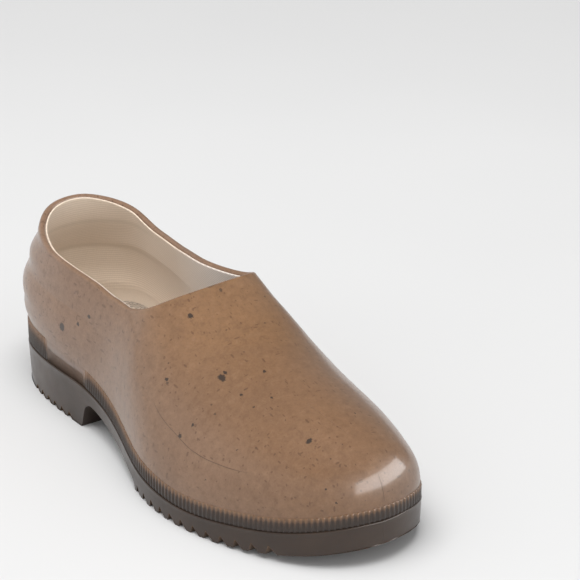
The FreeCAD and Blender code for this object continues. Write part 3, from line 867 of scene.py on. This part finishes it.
def fix_winding(me):
    bpy.context.view_layer.update()
    import bmesh
    bm = bmesh.new()
    bm.from_mesh(me)
    bmesh.ops.remove_doubles(bm, verts=bm.verts, dist=1e-7)
    bmesh.ops.recalc_face_normals(bm, faces=bm.faces)
    if bm.calc_volume(signed=True) < 0:
        bmesh.ops.reverse_faces(bm, faces=bm.faces)
    open_edges = sum(1 for e in bm.edges if not e.is_manifold)
    bm.to_mesh(me)
    bm.free()
    me.update()
    return open_edges


low = np.zeros(len(UV_))
zb_all = band_top(np.clip(UV_[:, 0], 0, LENGTH))
heel_dark = smooth(60, 70, UV_[:, 0]) * (1 - smooth(95, 112, UV_[:, 0])) * (UV_[:, 1] < 0)
low = np.exp(-np.clip(UV_[:, 2] - zb_all, 0, None) / 0.9) * 0.35
low[a] = 1.0
upper = make_piece("upper_moulding", UV_, up.f, MAT_UPPER, attrs={"low": low})
print("open edges upper", fix_winding(upper.data))

# ------------------------------------------------------------------ foxing band with its upright ribs
NB = 2880
bandq = OUT[::2]
arc = np.r_[0, np.cumsum(np.hypot(*np.diff(np.vstack([bandq[:, :2], bandq[:1, :2]]), axis=0).T))]
total = arc[-1]
seg = arc[:-1]
sm = bandq[:, 0]
side_lat = bandq[:, 1] < np.interp(bandq[:, 0], [0, LENGTH], [HEEL_TIP_X, TOE_TIP_X])
pitch = 1.75 + (2.42 - 1.75) * smooth(60, 200, sm)
phase = np.cumsum(np.r_[0, np.diff(arc)[:-1]] / pitch)
phase *= round(phase[-1] + 1) / (phase[-1] + np.diff(arc)[-1] / pitch[-1])
# resample so that every rib gets the same number of columns
cols_per = 10
n_ribs = int(round(phase[-1] + 0.5))
ph = np.arange(n_ribs * cols_per) / cols_per
ext_phase = np.r_[phase, n_ribs]
ext_q = np.vstack([bandq, bandq[:1]])
bq = np.array([np.interp(ph, ext_phase, ext_q[:, k]) for k in range(4)]).T
bq[:, 2:] /= np.linalg.norm(bq[:, 2:], axis=1)[:, None]
frac = ph % 1.0
rib = np.clip(np.cos(2 * math.pi * (frac - 0.5)) * 0.95 + 0.30, 0, 1)
rib = rib ** 0.7
gap_lo, gap_hi = 52.0, 84.0
lat_b = bq[:, 1] < np.interp(bq[:, 0], [0, LENGTH], [HEEL_TIP_X, TOE_TIP_X])
mask = 1 - lat_b * smooth(gap_lo - 5.0, gap_lo + 2.0, bq[:, 0]) * (1 - smooth(gap_hi - 2.0, gap_hi + 8.0, bq[:, 0]))
ss = np.clip(bq[:, 0], 0, LENGTH)
zw, zt = welt(ss), band_top(ss)
E_BASE, E_RIB = 0.36, 0.90
prof = [(0.0, 0.0), (0.03, 0.6), (0.08, 1.0), (0.25, 1.0), (0.45, 1.0), (0.65, 1.0), (0.82, 1.0), (0.90, 0.92), (0.955, 0.68), (0.985, 0.35), (1.0, 0.0)]
bb_ = Builder()
rings, ribv, lowv = [], [], []
for hfrac, k in prof:
    e = 0.33 + (E_BASE - 0.33) * min(1, k * 2) + (E_RIB - E_BASE) * k * rib * mask
    e = 0.20 + (e - 0.20) * np.clip(mask * 1.2, 0, 1)
    z = zw + 0.02 + (zt - zw + 0.25) * hfrac
    rings.append(bb_.add(np.c_[bq[:, 0] + bq[:, 2] * e, bq[:, 1] + bq[:, 3] * e, z]))
    ribv.append(np.where(mask > 0.5, rib, 1.0))
    lowv.append(np.full(len(bq), hfrac) + (1 - mask) * 0.55 * smooth(0.15, 0.5, hfrac))
for hfrac in (0.5,):
    rings.append(bb_.add(np.c_[bq[:, 0] + bq[:, 2] * 0.10, bq[:, 1] + bq[:, 3] * 0.10, zw + (zt - zw) * hfrac]))
    ribv.append(np.ones(len(bq)))
    lowv.append(np.full(len(bq), hfrac))
R = np.array(rings + [rings[0]])
R = np.c_[R, R[:, :1]]
bb_.quads(R)
band_piece = make_piece("foxing_band", bb_.verts(), bb_.f, MAT_BAND, attrs={"rib": np.concatenate(ribv), "low": np.clip(np.concatenate(lowv), 0, 1)})
print("open edges band", fix_winding(band_piece.data))

# ------------------------------------------------------------------ knitted sock bonded inside
def sock_skin(bld, t, zfloor, nb=22):
    p = depth(t)
    idx = bld.add(p)
    L_, M_ = iL + idx[0], iM + idx[0]
    fidx, q = foot_ring(p, zfloor)
    fr = bld.add(q)
    half = WN + 1
    fl = fr[:half]
    fm = np.r_[fr[0], fr[half:][::-1], fr[WN]]
    grid = [fl]
    for k in range(1, nb):
        f = k / nb
        mid = bld.v[-1] if False else None
        a = q[:half] * (1 - f) + np.vstack([q[0], q[half:][::-1], q[WN]]) * f
        g = bld.add(a)
        g[0], g[WN] = fl[0], fl[WN]
        grid.append(g)
    grid.append(fm)
    return L_, M_, fl, fm, np.array(grid), fidx + idx[0], fr


sk = Builder()
T_OUT, T_IN = WALL_T + 0.06, WALL_T + 0.95
Lo, Mo, flo, fmo, go, fio, fro = sock_skin(sk, T_OUT, lambda s: welt(s) + 0.08)
Li, Mi, fli, fmi, gi, fii, fri = sock_skin(sk, T_IN, lambda s: welt(s) + 0.95)
sk.quads(Lo)
sk.quads(Mo, flip=True)
sk.quads(Li, flip=True)
sk.quads(Mi)
sk.quads(go, flip=True)
sk.quads(gi)
for fi_, fr_, fl_ in ((fio, fro, False), (fii, fri, True)):
    lp = np.array([fi_, fr_])
    sk.quads(np.c_[lp, lp[:, :1]], flip=not fl_)
rim_o = Lo[0, 0] * 0
base_o = Lo.min() if False else 0
n_skin = len(SV)
off_o, off_i = int(Lo[5, 5] - iL[5, 5]), int(Li[5, 5] - iL[5, 5])
ls = [RIM + off_o]
for k in range(0, 5):
    a = math.pi * k / 4
    c = 0.5 * (T_OUT + T_IN)
    ls.append(sk.add(rim_ring(c - (T_IN - T_OUT) / 2 * math.cos(a), 0.55 + 0.42 * math.sin(a))))
ls.append(RIM + off_i)
ls = np.array(ls)
sk.quads(np.c_[ls, ls[:, :1]])
KV = sk.verts()
# knit coordinates in mm: round the foot, and up the wall
uvk = np.zeros((len(KV), 2))
rowlen_L = np.concatenate([[0], np.cumsum(np.linalg.norm(np.diff(GL[60], axis=0), axis=1))])


def skin_uv():
    uv = np.zeros((len(SV), 2))
    for g, G, l, sg in ((iM, GM, LM, 1), (iL, GL, LL, -1)):
        h = np.concatenate([np.zeros((WN + 1, 1)), np.cumsum(np.linalg.norm(np.diff(G, axis=1), axis=2), axis=1)], axis=1)
        uv[g, 0] = sg * l[:, None]
        uv[g, 1] = h
    return uv


suv = skin_uv()
uvk[: len(SV)] = suv
uvk[off_i: off_i + len(SV)] = suv
rest = np.ones(len(KV), bool)
rest[: len(SV)] = False
rest[off_i: off_i + len(SV)] = False
uvk[rest] = KV[rest][:, :2]
for r_ in ls[1:-1]:
    uvk[r_] = suv[RIM] + (0, 0.6)
lining = make_piece("sock_knit", KV, sk.f, MAT_KNIT, uv=uvk)
print("open edges sock", fix_winding(lining.data))


# ------------------------------------------------------------------ footbed: foam layer with a felt top
def slab_piece(name, mat, e, z0, z1, crown=0.0, round_=0.5, nw=260, nb=30):
    a, b_ = halves(e)
    La = np.r_[0, np.cumsum(np.hypot(*np.diff(a, axis=0).T))]
    Lb = np.r_[0, np.cumsum(np.hypot(*np.diff(b_, axis=0).T))]
    f = 0.5 - 0.5 * np.cos(np.linspace(0, math.pi, nw + 1))
    f = 0.35 * f + 0.65 * np.linspace(0, 1, nw + 1)
    A = np.c_[np.interp(f * La[-1], La, a[:, 0]), np.interp(f * La[-1], La, a[:, 1])]
    B = np.c_[np.interp(f * Lb[-1], Lb, b_[:, 0]), np.interp(f * Lb[-1], Lb, b_[:, 1])]
    loop = np.vstack([A, B[-2:0:-1]])
    c = np.array([130.0, 5.0])
    tg = np.roll(loop, -1, 0) - np.roll(loop, 1, 0)
    n = np.c_[tg[:, 1], -tg[:, 0]]
    n /= np.linalg.norm(n, axis=1)[:, None]
    if np.mean(np.sum(n * (loop - c), 1)) < 0:
        n = -n
    bd = Builder()
    rings_ = []
    prof_ = [(-round_, z0), (-round_ * 0.3, z0 + round_ * 0.3), (0, z0 + round_), (0, z1 - round_), (-round_ * 0.3, z1 - round_ * 0.3), (-round_, z1)]
    for d_, z_ in prof_:
        q = loop + n * d_
        rings_.append(bd.add(np.c_[q, welt(np.clip(q[:, 0], 0, LENGTH)) + z_]))
    R_ = np.array(rings_)
    bd.quads(np.c_[R_, R_[:, :1]])
    for r_, zc, fl_ in ((rings_[-1], z1, False), (rings_[0], z0, True)):
        P_ = bd.verts()[r_]
        half = nw + 1
        pa, pb = P_[:half], np.vstack([P_[0], P_[half:][::-1], P_[nw]])
        ia, ib = r_[:half], np.r_[r_[0], r_[half:][::-1], r_[nw]]
        cols = [ia]
        for k in range(1, nb):
            g_ = k / nb
            q = pa * (1 - g_) + pb * g_
            q[:, 2] = welt(np.clip(q[:, 0], 0, LENGTH)) + zc + (crown * 4 * g_ * (1 - g_) if not fl_ else 0)
            ii = bd.add(q)
            ii[0], ii[nw] = ia[0], ia[nw]
            cols.append(ii)
        cols.append(ib)
        bd.quads(np.array(cols), flip=fl_)
    v = bd.verts()
    o = make_piece(name, v, bd.f, mat, uv=v[:, :2])
    print("open edges", name, fix_winding(o.data))
    return o


bed_e = 0.3 - 3.2 - 1.0 - 0.8
foam_piece = slab_piece("footbed_cushion", MAT_FOAM, bed_e, 1.32, 4.46, round_=0.8)
felt_piece = slab_piece("footbed_felt_top", MAT_FELT, bed_e - 0.15, 4.50, 5.75, round_=0.35)


# ------------------------------------------------------------------ outsole
def spring(s):
    return TOE_SPRING * np.clip((s - TOE_SPRING_START) / (LENGTH - TOE_SPRING_START), 0, None) ** 2


E_TOP = 1.10
SL, SM_ = halves(1.0)
s_lo, s_hi = SL[0, 0], SL[-1, 0]
waist = pchip([BREAST_S, BREAST_S + 1.2] + WAIST_S + [FORE_S], [0.0, 3.0] + WAIST_Z + [0.0])


def stations_of_sole():
    out = []
    t = np.linspace(0, 1, 46)
    out += list(s_lo + (HEEL_PLATE_S - s_lo) * t ** 2)
    for a in np.arange(s_lo + 1.0, HEEL_PLATE_S, 0.26):
        out.append(a)
    out += list(np.arange(HEEL_PLATE_S, BREAST_S, 0.42))
    out += list(np.arange(BREAST_S, 93, 0.5)) + list(np.arange(93, 146, 1.0)) + list(np.arange(146, FORE_S + 1, 0.35))
    out += list(np.arange(FORE_S, TOE_PLATE_S, 0.42)) + list(np.arange(TOE_PLATE_S, s_hi - 0.5, 0.26))
    out += list(s_hi - (s_hi - TOE_PLATE_S) * t[::-1] ** 2)
    q = np.unique(np.round(out, 4))
    keep = [q[0]]
    for v in q[1:-1]:
        lim = 0.16 if 4 < v < 258 else 0.012
        if v - keep[-1] > lim and s_hi - v > 1e-3:
            keep.append(v)
    keep.append(s_hi)
    keep[0] = s_lo
    return np.array(keep)


SS = stations_of_sole()
NC = 128
cw = np.linspace(-1, 1, NC + 1)
cw = np.sign(cw) * (0.82 * np.abs(cw) + 0.18 * np.abs(cw) ** 0.6)
xl_, xm_ = np.interp(SS, SL[:, 0], SL[:, 1]), np.interp(SS, SM_[:, 0], SM_[:, 1])
XX = 0.5 * (xl_ + xm_)[:, None] + 0.5 * (xm_ - xl_)[:, None] * cw[None, :]
SX = np.repeat(SS[:, None], NC + 1, 1)

panel_lat = pchip([148, 165, 190, 212, 228, 233], [-20, -26, -25, -17, -4, 4])
panel_med = pchip([148, 160, 190, 216, 228, 233], [27, 30, 33, 31, 26, 14])


def tread(s, x):
    """Height of the underside, and how thin and how stippled it is there."""
    xl, xm = np.interp(s, SL[:, 0], SL[:, 1]), np.interp(s, SM_[:, 0], SM_[:, 1])
    inb_l, inb_m = x - xl, xm - x
    inb = np.minimum(inb_l, inb_m)
    fore, heel = s >= FORE_S, s <= BREAST_S
    base = np.where(fore, spring(s), np.where(heel, 0.0, waist(s)))
    h = base.copy()
    thin = np.zeros_like(s)
    stip = np.zeros_like(s)
    # saw-tooth lugs along both edges
    for a0, a1, count, on in ((FORE_S, TOE_PLATE_S, FORE_LUGS, fore), (HEEL_PLATE_S, BREAST_S - 8.0, HEEL_LUGS, heel)):
        pitch_ = (a1 - a0) / count
        k = (s - a0) / pitch_
        zone = on & (k >= 0) & (k < count)
        f = (k % 1.0) * pitch_
        g = (f - 2.0) / (pitch_ - 2.0)
        top = 4.1 if a0 > 100 else 2.9
        d = np.where(g < 0.26, -0.5 + (top + 0.8) * g / 0.26, top + 0.3 - (top + 0.8) * (g - 0.26) / 0.74)
        d = np.where((g > 0) & zone, np.clip(d, 0, top), 0)
        ll = 17.0 if a0 > 100 else 14.5
        inner_end = 1 - smooth(ll - 1.4, ll + 0.6, inb)
        h = h + d * inner_end
        groove = np.exp(-((f - 1.0) / 0.28) ** 2) * 0.35
        h = h + np.where(zone, groove, 0) * inner_end
        thin = np.maximum(thin, np.clip(d / 4.1, 0, 1) * inner_end)
    # forefoot panel with five shingled chevrons, points to the toe
    pl, pm = panel_lat(s), panel_med(s)
    into = np.minimum(np.minimum(x - pl, pm - x), np.where(fore, (232.0 - s), -9.0))
    pan = smooth(0.0, 1.0, into) * (s < 233) * fore
    c = s + 0.52 * np.abs(x - 5.0)
    u = (216.0 - c) / 13.0
    stepd = np.where(u < 0, 1.5, np.where(u > 5, 1.7, 0.9 + 1.7 * (np.clip(u, 0, 4.999) % 1.0)))
    h = h + pan * stepd
    # waist: stippled sunk field inside a smooth border, two raised tapering ribs, a gate mark
    wl = xl + 6.5 + 5.5 * smooth(120, 92, s)
    wm = xm - 6.5 - 4.5 * smooth(120, 92, s)
    into = np.minimum(np.minimum(x - wl, wm - x), np.minimum(s - 86.0, 147.0 - s))
    fld = smooth(0.0, 0.9, into)
    in_w = (s > BREAST_S + 2) & (s < FORE_S - 1)
    h = h + np.where(in_w, fld * 0.8, 0)
    stip = np.maximum(stip, np.where(in_w, fld, 0))
    for sg in (-1, 1):
        cx = 3.0 + sg * (7.6 + 0.0035 * np.clip(s - 86, 0, None) ** 2 * (1.0 if sg > 0 else 0.8))
        wdt = 1.9 * (1 - 0.45 * smooth(100, 138, s))
        r = np.clip(1 - (np.abs(x - cx) / wdt) ** 2, 0, 1) ** 0.5
        r = r * smooth(84.0, 87.5, s) * (1 - smooth(132, 139, s))
        h = h - np.where(in_w, 2.2 * r, 0)
        stip = np.where(r > 0.05, 0, stip)
    g = np.hypot(s - 126.0, x - 8.0)
    h = h - np.where(in_w, 0.8 * (1 - smooth(1.6, 2.3, g)), 0)
    # heel: sunk channel into a round seat with a plain raised boss
    rr = np.hypot(s - 55.0, x - 0.0)
    seat = 1 - smooth(13.2, 14.2, rr)
    chan = (1 - smooth(10.6, 11.6, np.abs(x - 0.5 - 0.03 * (s - 55)))) * smooth(55, 57, s) * heel
    rec = np.maximum(seat, chan) * heel
    h = h + 2.4 * rec
    boss = (1 - smooth(10.4, 11.3, rr)) * heel
    rimg = np.exp(-((rr - 8.6) / 0.5) ** 2) * heel
    h = h - 1.1 * boss + 0.35 * rimg
    stip = np.maximum(stip, (chan * (1 - seat)) * 0.6)
    # fine cross ribs on toe and heel plates
    fine = np.maximum(smooth(TOE_PLATE_S + 0.6, TOE_PLATE_S + 1.4, s), 1 - smooth(HEEL_PLATE_S - 1.4, HEEL_PLATE_S - 0.6, s))
    fine = fine * smooth(1.2, 2.2, inb)
    w_ = 0.5 - 0.5 * np.cos(2 * math.pi * s / 1.95)
    h = h + fine * 0.42 * w_
    return h, thin, stip


HB, THIN, STIP = tread(SX, XX)
HB[:, 0] = np.maximum(HB[:, 0], 0)
sole = Builder()
att_thin, att_stip = [], []
bot = sole.add(np.c_[SX.ravel(), XX.ravel(), HB.ravel()]).reshape(SX.shape)
att_thin.append(THIN.ravel())
att_stip.append(STIP.ravel())
bot[0, :] = bot[0, 0]
bot[-1, :] = bot[-1, 0]
sole.quads(bot)
# side wall, with a light draft and a rounded top edge
ring_b = np.r_[bot[:, 0], bot[-2:0:-1, NC]]
pb_ = sole.verts()[ring_b]
tg = np.roll(pb_, -1, 0) - np.roll(pb_, 1, 0)
nn = np.c_[tg[:, 1], -tg[:, 0]]
nn /= np.linalg.norm(nn, axis=1)[:, None] + 1e-12
if np.mean(np.sum(nn * (pb_[:, :2] - (130.0, 5.0)), 1)) < 0:
    nn = -nn
nn[0] = (-1, 0)
zt_ = welt(np.clip(pb_[:, 0], 0, LENGTH))
wall = [ring_b]
profile_w = [(0.05, None), (0.18, None), (0.36, None), (0.54, None), (0.70, None), (0.84, None)]
for f, _ in profile_w:
    z = pb_[:, 2] + (zt_ - 0.9 - pb_[:, 2]) * f
    e = (-0.035 * (zt_ - 0.9 - z))[:, None]
    wall.append(sole.add(np.c_[pb_[:, :2] + nn * e, z]))
for e, dz in ((0.02, -0.9), (0.10, -0.62), (0.06, -0.30), (-0.10, -0.08), (-0.38, 0.0)):
    wall.append(sole.add(np.c_[pb_[:, :2] + nn * e, zt_ + dz]))
pb2 = pb_.copy()
pb2[:, :2] += nn * -0.55
Wl = np.array(wall)
sole.quads(np.c_[Wl, Wl[:, :1]])
# top deck, under the upper
last = wall[-1]
nS = len(SS)
la, lb = last[:nS], np.r_[last[0], last[nS:][::-1], last[nS - 1]]
PV = sole.verts()
cols = [la]
for k in range(1, 10):
    g_ = k / 10
    q = PV[la] * (1 - g_) + PV[lb] * g_
    q[:, 2] = welt(np.clip(q[:, 0], 0, LENGTH))
    ii = sole.add(q)
    ii[0], ii[-1] = la[0], la[-1]
    cols.append(ii)
cols.append(lb)
sole.quads(np.array(cols))
VV = sole.verts()
# the lowest wall row takes the tread row's place in the draft
VV[ring_b, :2] += nn * (-0.035 * (zt_ - 0.9 - pb_[:, 2]))[:, None]
rest_n = len(VV) - SX.size
thin_all = np.r_[THIN.ravel(), np.zeros(rest_n)]
stip_all = np.r_[STIP.ravel(), np.zeros(rest_n)]
sole_piece = make_piece("outsole_moulding", VV, sole.f, MAT_SOLE, attrs={"thin": thin_all, "stipple": stip_all}, sharp=42)
print("open edges sole", fix_winding(sole_piece.data))

# ------------------------------------------------------------------ floor, light
floor_me = bpy.data.meshes.new("floor")
FS = 9.0
floor_me.from_pydata([(-FS, -FS, 0), (FS, -FS, 0), (FS, FS, 0), (-FS, FS, 0)], [], [(0, 1, 2, 3)])
floor = bpy.data.objects.new("floor", floor_me)
SCENE.collection.objects.link(floor)
fm, ft, fb = new_material("floor_paper")
ftc = add(ft, "ShaderNodeTexCoord")
fcol = mix(ft, remap(ft, noise(ft, ftc.outputs["Object"], 3.0, 2.0), 0.3, 0.7), (0.66, 0.66, 0.66), (0.68, 0.68, 0.68))
ft.links.new(fcol, fb.inputs["Base Color"])
fb.inputs["Roughness"].default_value = 0.75
fb.inputs["Specular IOR Level"].default_value = 0.0
floor_me.materials.append(fm)

world_ = bpy.data.worlds.new("studio")
SCENE.world = world_
world_.use_nodes = True
wt = world_.node_tree
bg = next(n for n in wt.nodes if n.type == "BACKGROUND")
wtc = add(wt, "ShaderNodeTexCoord")
wsep = add(wt, "ShaderNodeSeparateXYZ")
wt.links.new(wtc.outputs["Generated"], wsep.inputs[0])
# bright white walls round the table, a darker ceiling and a dark screen behind on the right
wall_tone = ramp(wt, wsep.outputs[2], [(0.0, (1.0, 1.0, 1.0)), (0.50, (0.90, 0.90, 0.90)), (0.74, (0.52, 0.52, 0.52)), (1.0, (0.40, 0.40, 0.40))])
wdot = add(wt, "ShaderNodeVectorMath", operation="DOT_PRODUCT")
wt.links.new(wtc.outputs["Generated"], wdot.inputs[0])
wdot.inputs[1].default_value = (0.80, 0.60, 0.0)
wall_tone = mix(wt, remap(wt, wdot.outputs["Value"], 0.15, 0.80, 0.0, 0.72, "SMOOTHSTEP"), wall_tone, (0.10, 0.095, 0.09))
wt.links.new(wall_tone, bg.inputs[0])
bg.inputs[1].default_value = 1.0


def area_light(name, pos, target, size, power, color=(1, 1, 1)):
    d = bpy.data.lights.new(name, "AREA")
    d.shape = "RECTANGLE"
    d.size, d.size_y = size
    d.energy = power
    d.color = color
    o = bpy.data.objects.new(name, d)
    SCENE.collection.objects.link(o)
    o.location = pos
    o.rotation_mode = "QUATERNION"
    o.rotation_quaternion = (Vector(target) - Vector(pos)).to_track_quat("-Z", "Y")
    return o


top_box = area_light("softbox_top", (-0.35, -0.15, 1.9), (0, 0.08, 0.03), (1.6, 1.4), 36)
top_box.visible_glossy = False
win = area_light("window_front", (0.60, -1.46, 0.42), (0.0, -0.13, 0.42), (2.4, 0.78), 3)
win.visible_glossy = False
glow = area_light("window_front_gloss", (0.78, -1.30, 0.43), (0.0, -0.13, 0.43), (2.8, 0.80), 50)
glow.visible_diffuse = False
for lamp in (top_box, win, glow):
    lamp.visible_camera = False
SCENE.view_settings.view_transform = "Standard"

# ------------------------------------------------------------------ raised mould lines on the upper and the sole wall
def beads(name, runs, target, material):
    """Thin half-sunk beads along runs of (points in metres, radius in mm, tone), laid on the target's surface."""
    tree = BVHTree.FromObject(target, bpy.context.evaluated_depsgraph_get())
    bd, tone = Builder(), []
    for pts, rad, lv in runs:
        p = np.array(pts)
        d = np.r_[0, np.cumsum(np.linalg.norm(np.diff(p, axis=0), axis=1))]
        n = max(12, int(d[-1] / 0.0008))
        u = np.linspace(0, d[-1], n)
        q = np.array([pchip(d, p[:, k])(u) for k in range(3)]).T
        for _ in range(3):
            q[1:-1] = 0.25 * q[:-2] + 0.5 * q[1:-1] + 0.25 * q[2:]
        loc, nor = [], []
        for c in q:
            a_, b_, _, _ = tree.find_nearest(Vector(c))
            loc.append(a_[:])
            nor.append(b_[:])
        loc, nor = np.array(loc), np.array(nor)
        for _ in range(6):
            nor[1:-1] = nor[:-2] + nor[1:-1] + nor[2:]
            nor /= np.linalg.norm(nor, axis=1)[:, None]
        tan = np.gradient(loc, axis=0)
        tan /= np.linalg.norm(tan, axis=1)[:, None]
        side = np.cross(tan, nor)
        side /= np.linalg.norm(side, axis=1)[:, None]
        r = rad / 1000 * np.clip(np.sin(np.linspace(0, math.pi, n)) * 2.2 + 0.12, 0, 1)
        grid = []
        for k in range(8):
            a = 2 * math.pi * k / 8
            grid.append(bd.add(loc + side * (r * math.cos(a))[:, None] + nor * (r * math.sin(a) * 0.8 - r * 0.25)[:, None]))
            tone.append(np.full(n, lv))
        grid = np.array(grid + [grid[0]])
        bd.quads(grid)
        for e in (0, n - 1):
            bd.f.append([int(c) for c in grid[:-1, e]])
    o = make_piece(name, bd.verts(), bd.f, material, mm=False, attrs={"low": np.concatenate(tone), "thin": np.zeros(bd.n), "stipple": np.zeros(bd.n)})
    fix_winding(o.data)
    return o


bpy.context.view_layer.update()
lines_upper = beads("mould_lines_upper", [
    ([(-0.04402, -0.02907, 0.04924), (-0.04498, -0.0405, 0.04375), (-0.04438, -0.05255, 0.04044), (-0.04357, -0.06097, 0.03801), (-0.04063, -0.07308, 0.03675), (-0.03738, -0.08224, 0.03672), (-0.03267, -0.09259, 0.0376)], 0.17, 0.82),
    ([(-0.00022, -0.08429, 0.05968), (0.00125, -0.09501, 0.0576), (0.00343, -0.10425, 0.05531), (0.00595, -0.1126, 0.0525)], 0.14, 0.0),
    ([(0.00816, -0.12841, 0.04186), (0.0088, -0.1312, 0.0355), (0.00929, -0.13218, 0.02896)], 0.14, 0.80)], upper, MAT_UPPER)
lines_sole = beads("mould_line_sole", [([(0.00873, -0.1330, 0.0200), (0.0088, -0.1330, 0.0150), (0.0088, -0.1328, 0.0105)], 0.13, 0.0)], sole_piece, MAT_SOLE)

# ------------------------------------------------------------------ bodies
for piece, body, slot_, nodes in (
        (upper, "clog", "upper_rubber", ["upper_shell"]),
        (band_piece, "clog", "upper_rubber", ["upper_shell"]),
        (lines_upper, "clog", "upper_rubber", ["upper_shell"]),
        (lines_sole, "clog", "sole_rubber", ["outsole"]),
        (sole_piece, "clog", "sole_rubber", ["outsole"]),
        (lining, "clog", "lining_knit", ["sock_lining"]),
        (foam_piece, "footbed", "footbed_foam", ["footbed_foam"]),
        (felt_piece, "footbed", "footbed_felt", ["footbed_felt"])):
    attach(piece, body)
    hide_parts(*nodes)


def sheet_area(o):
    return 0.5 * sum(p.area for p in o.data.polygons)


print("felt area", sheet_area(felt_piece), "lining area", sheet_area(lining))
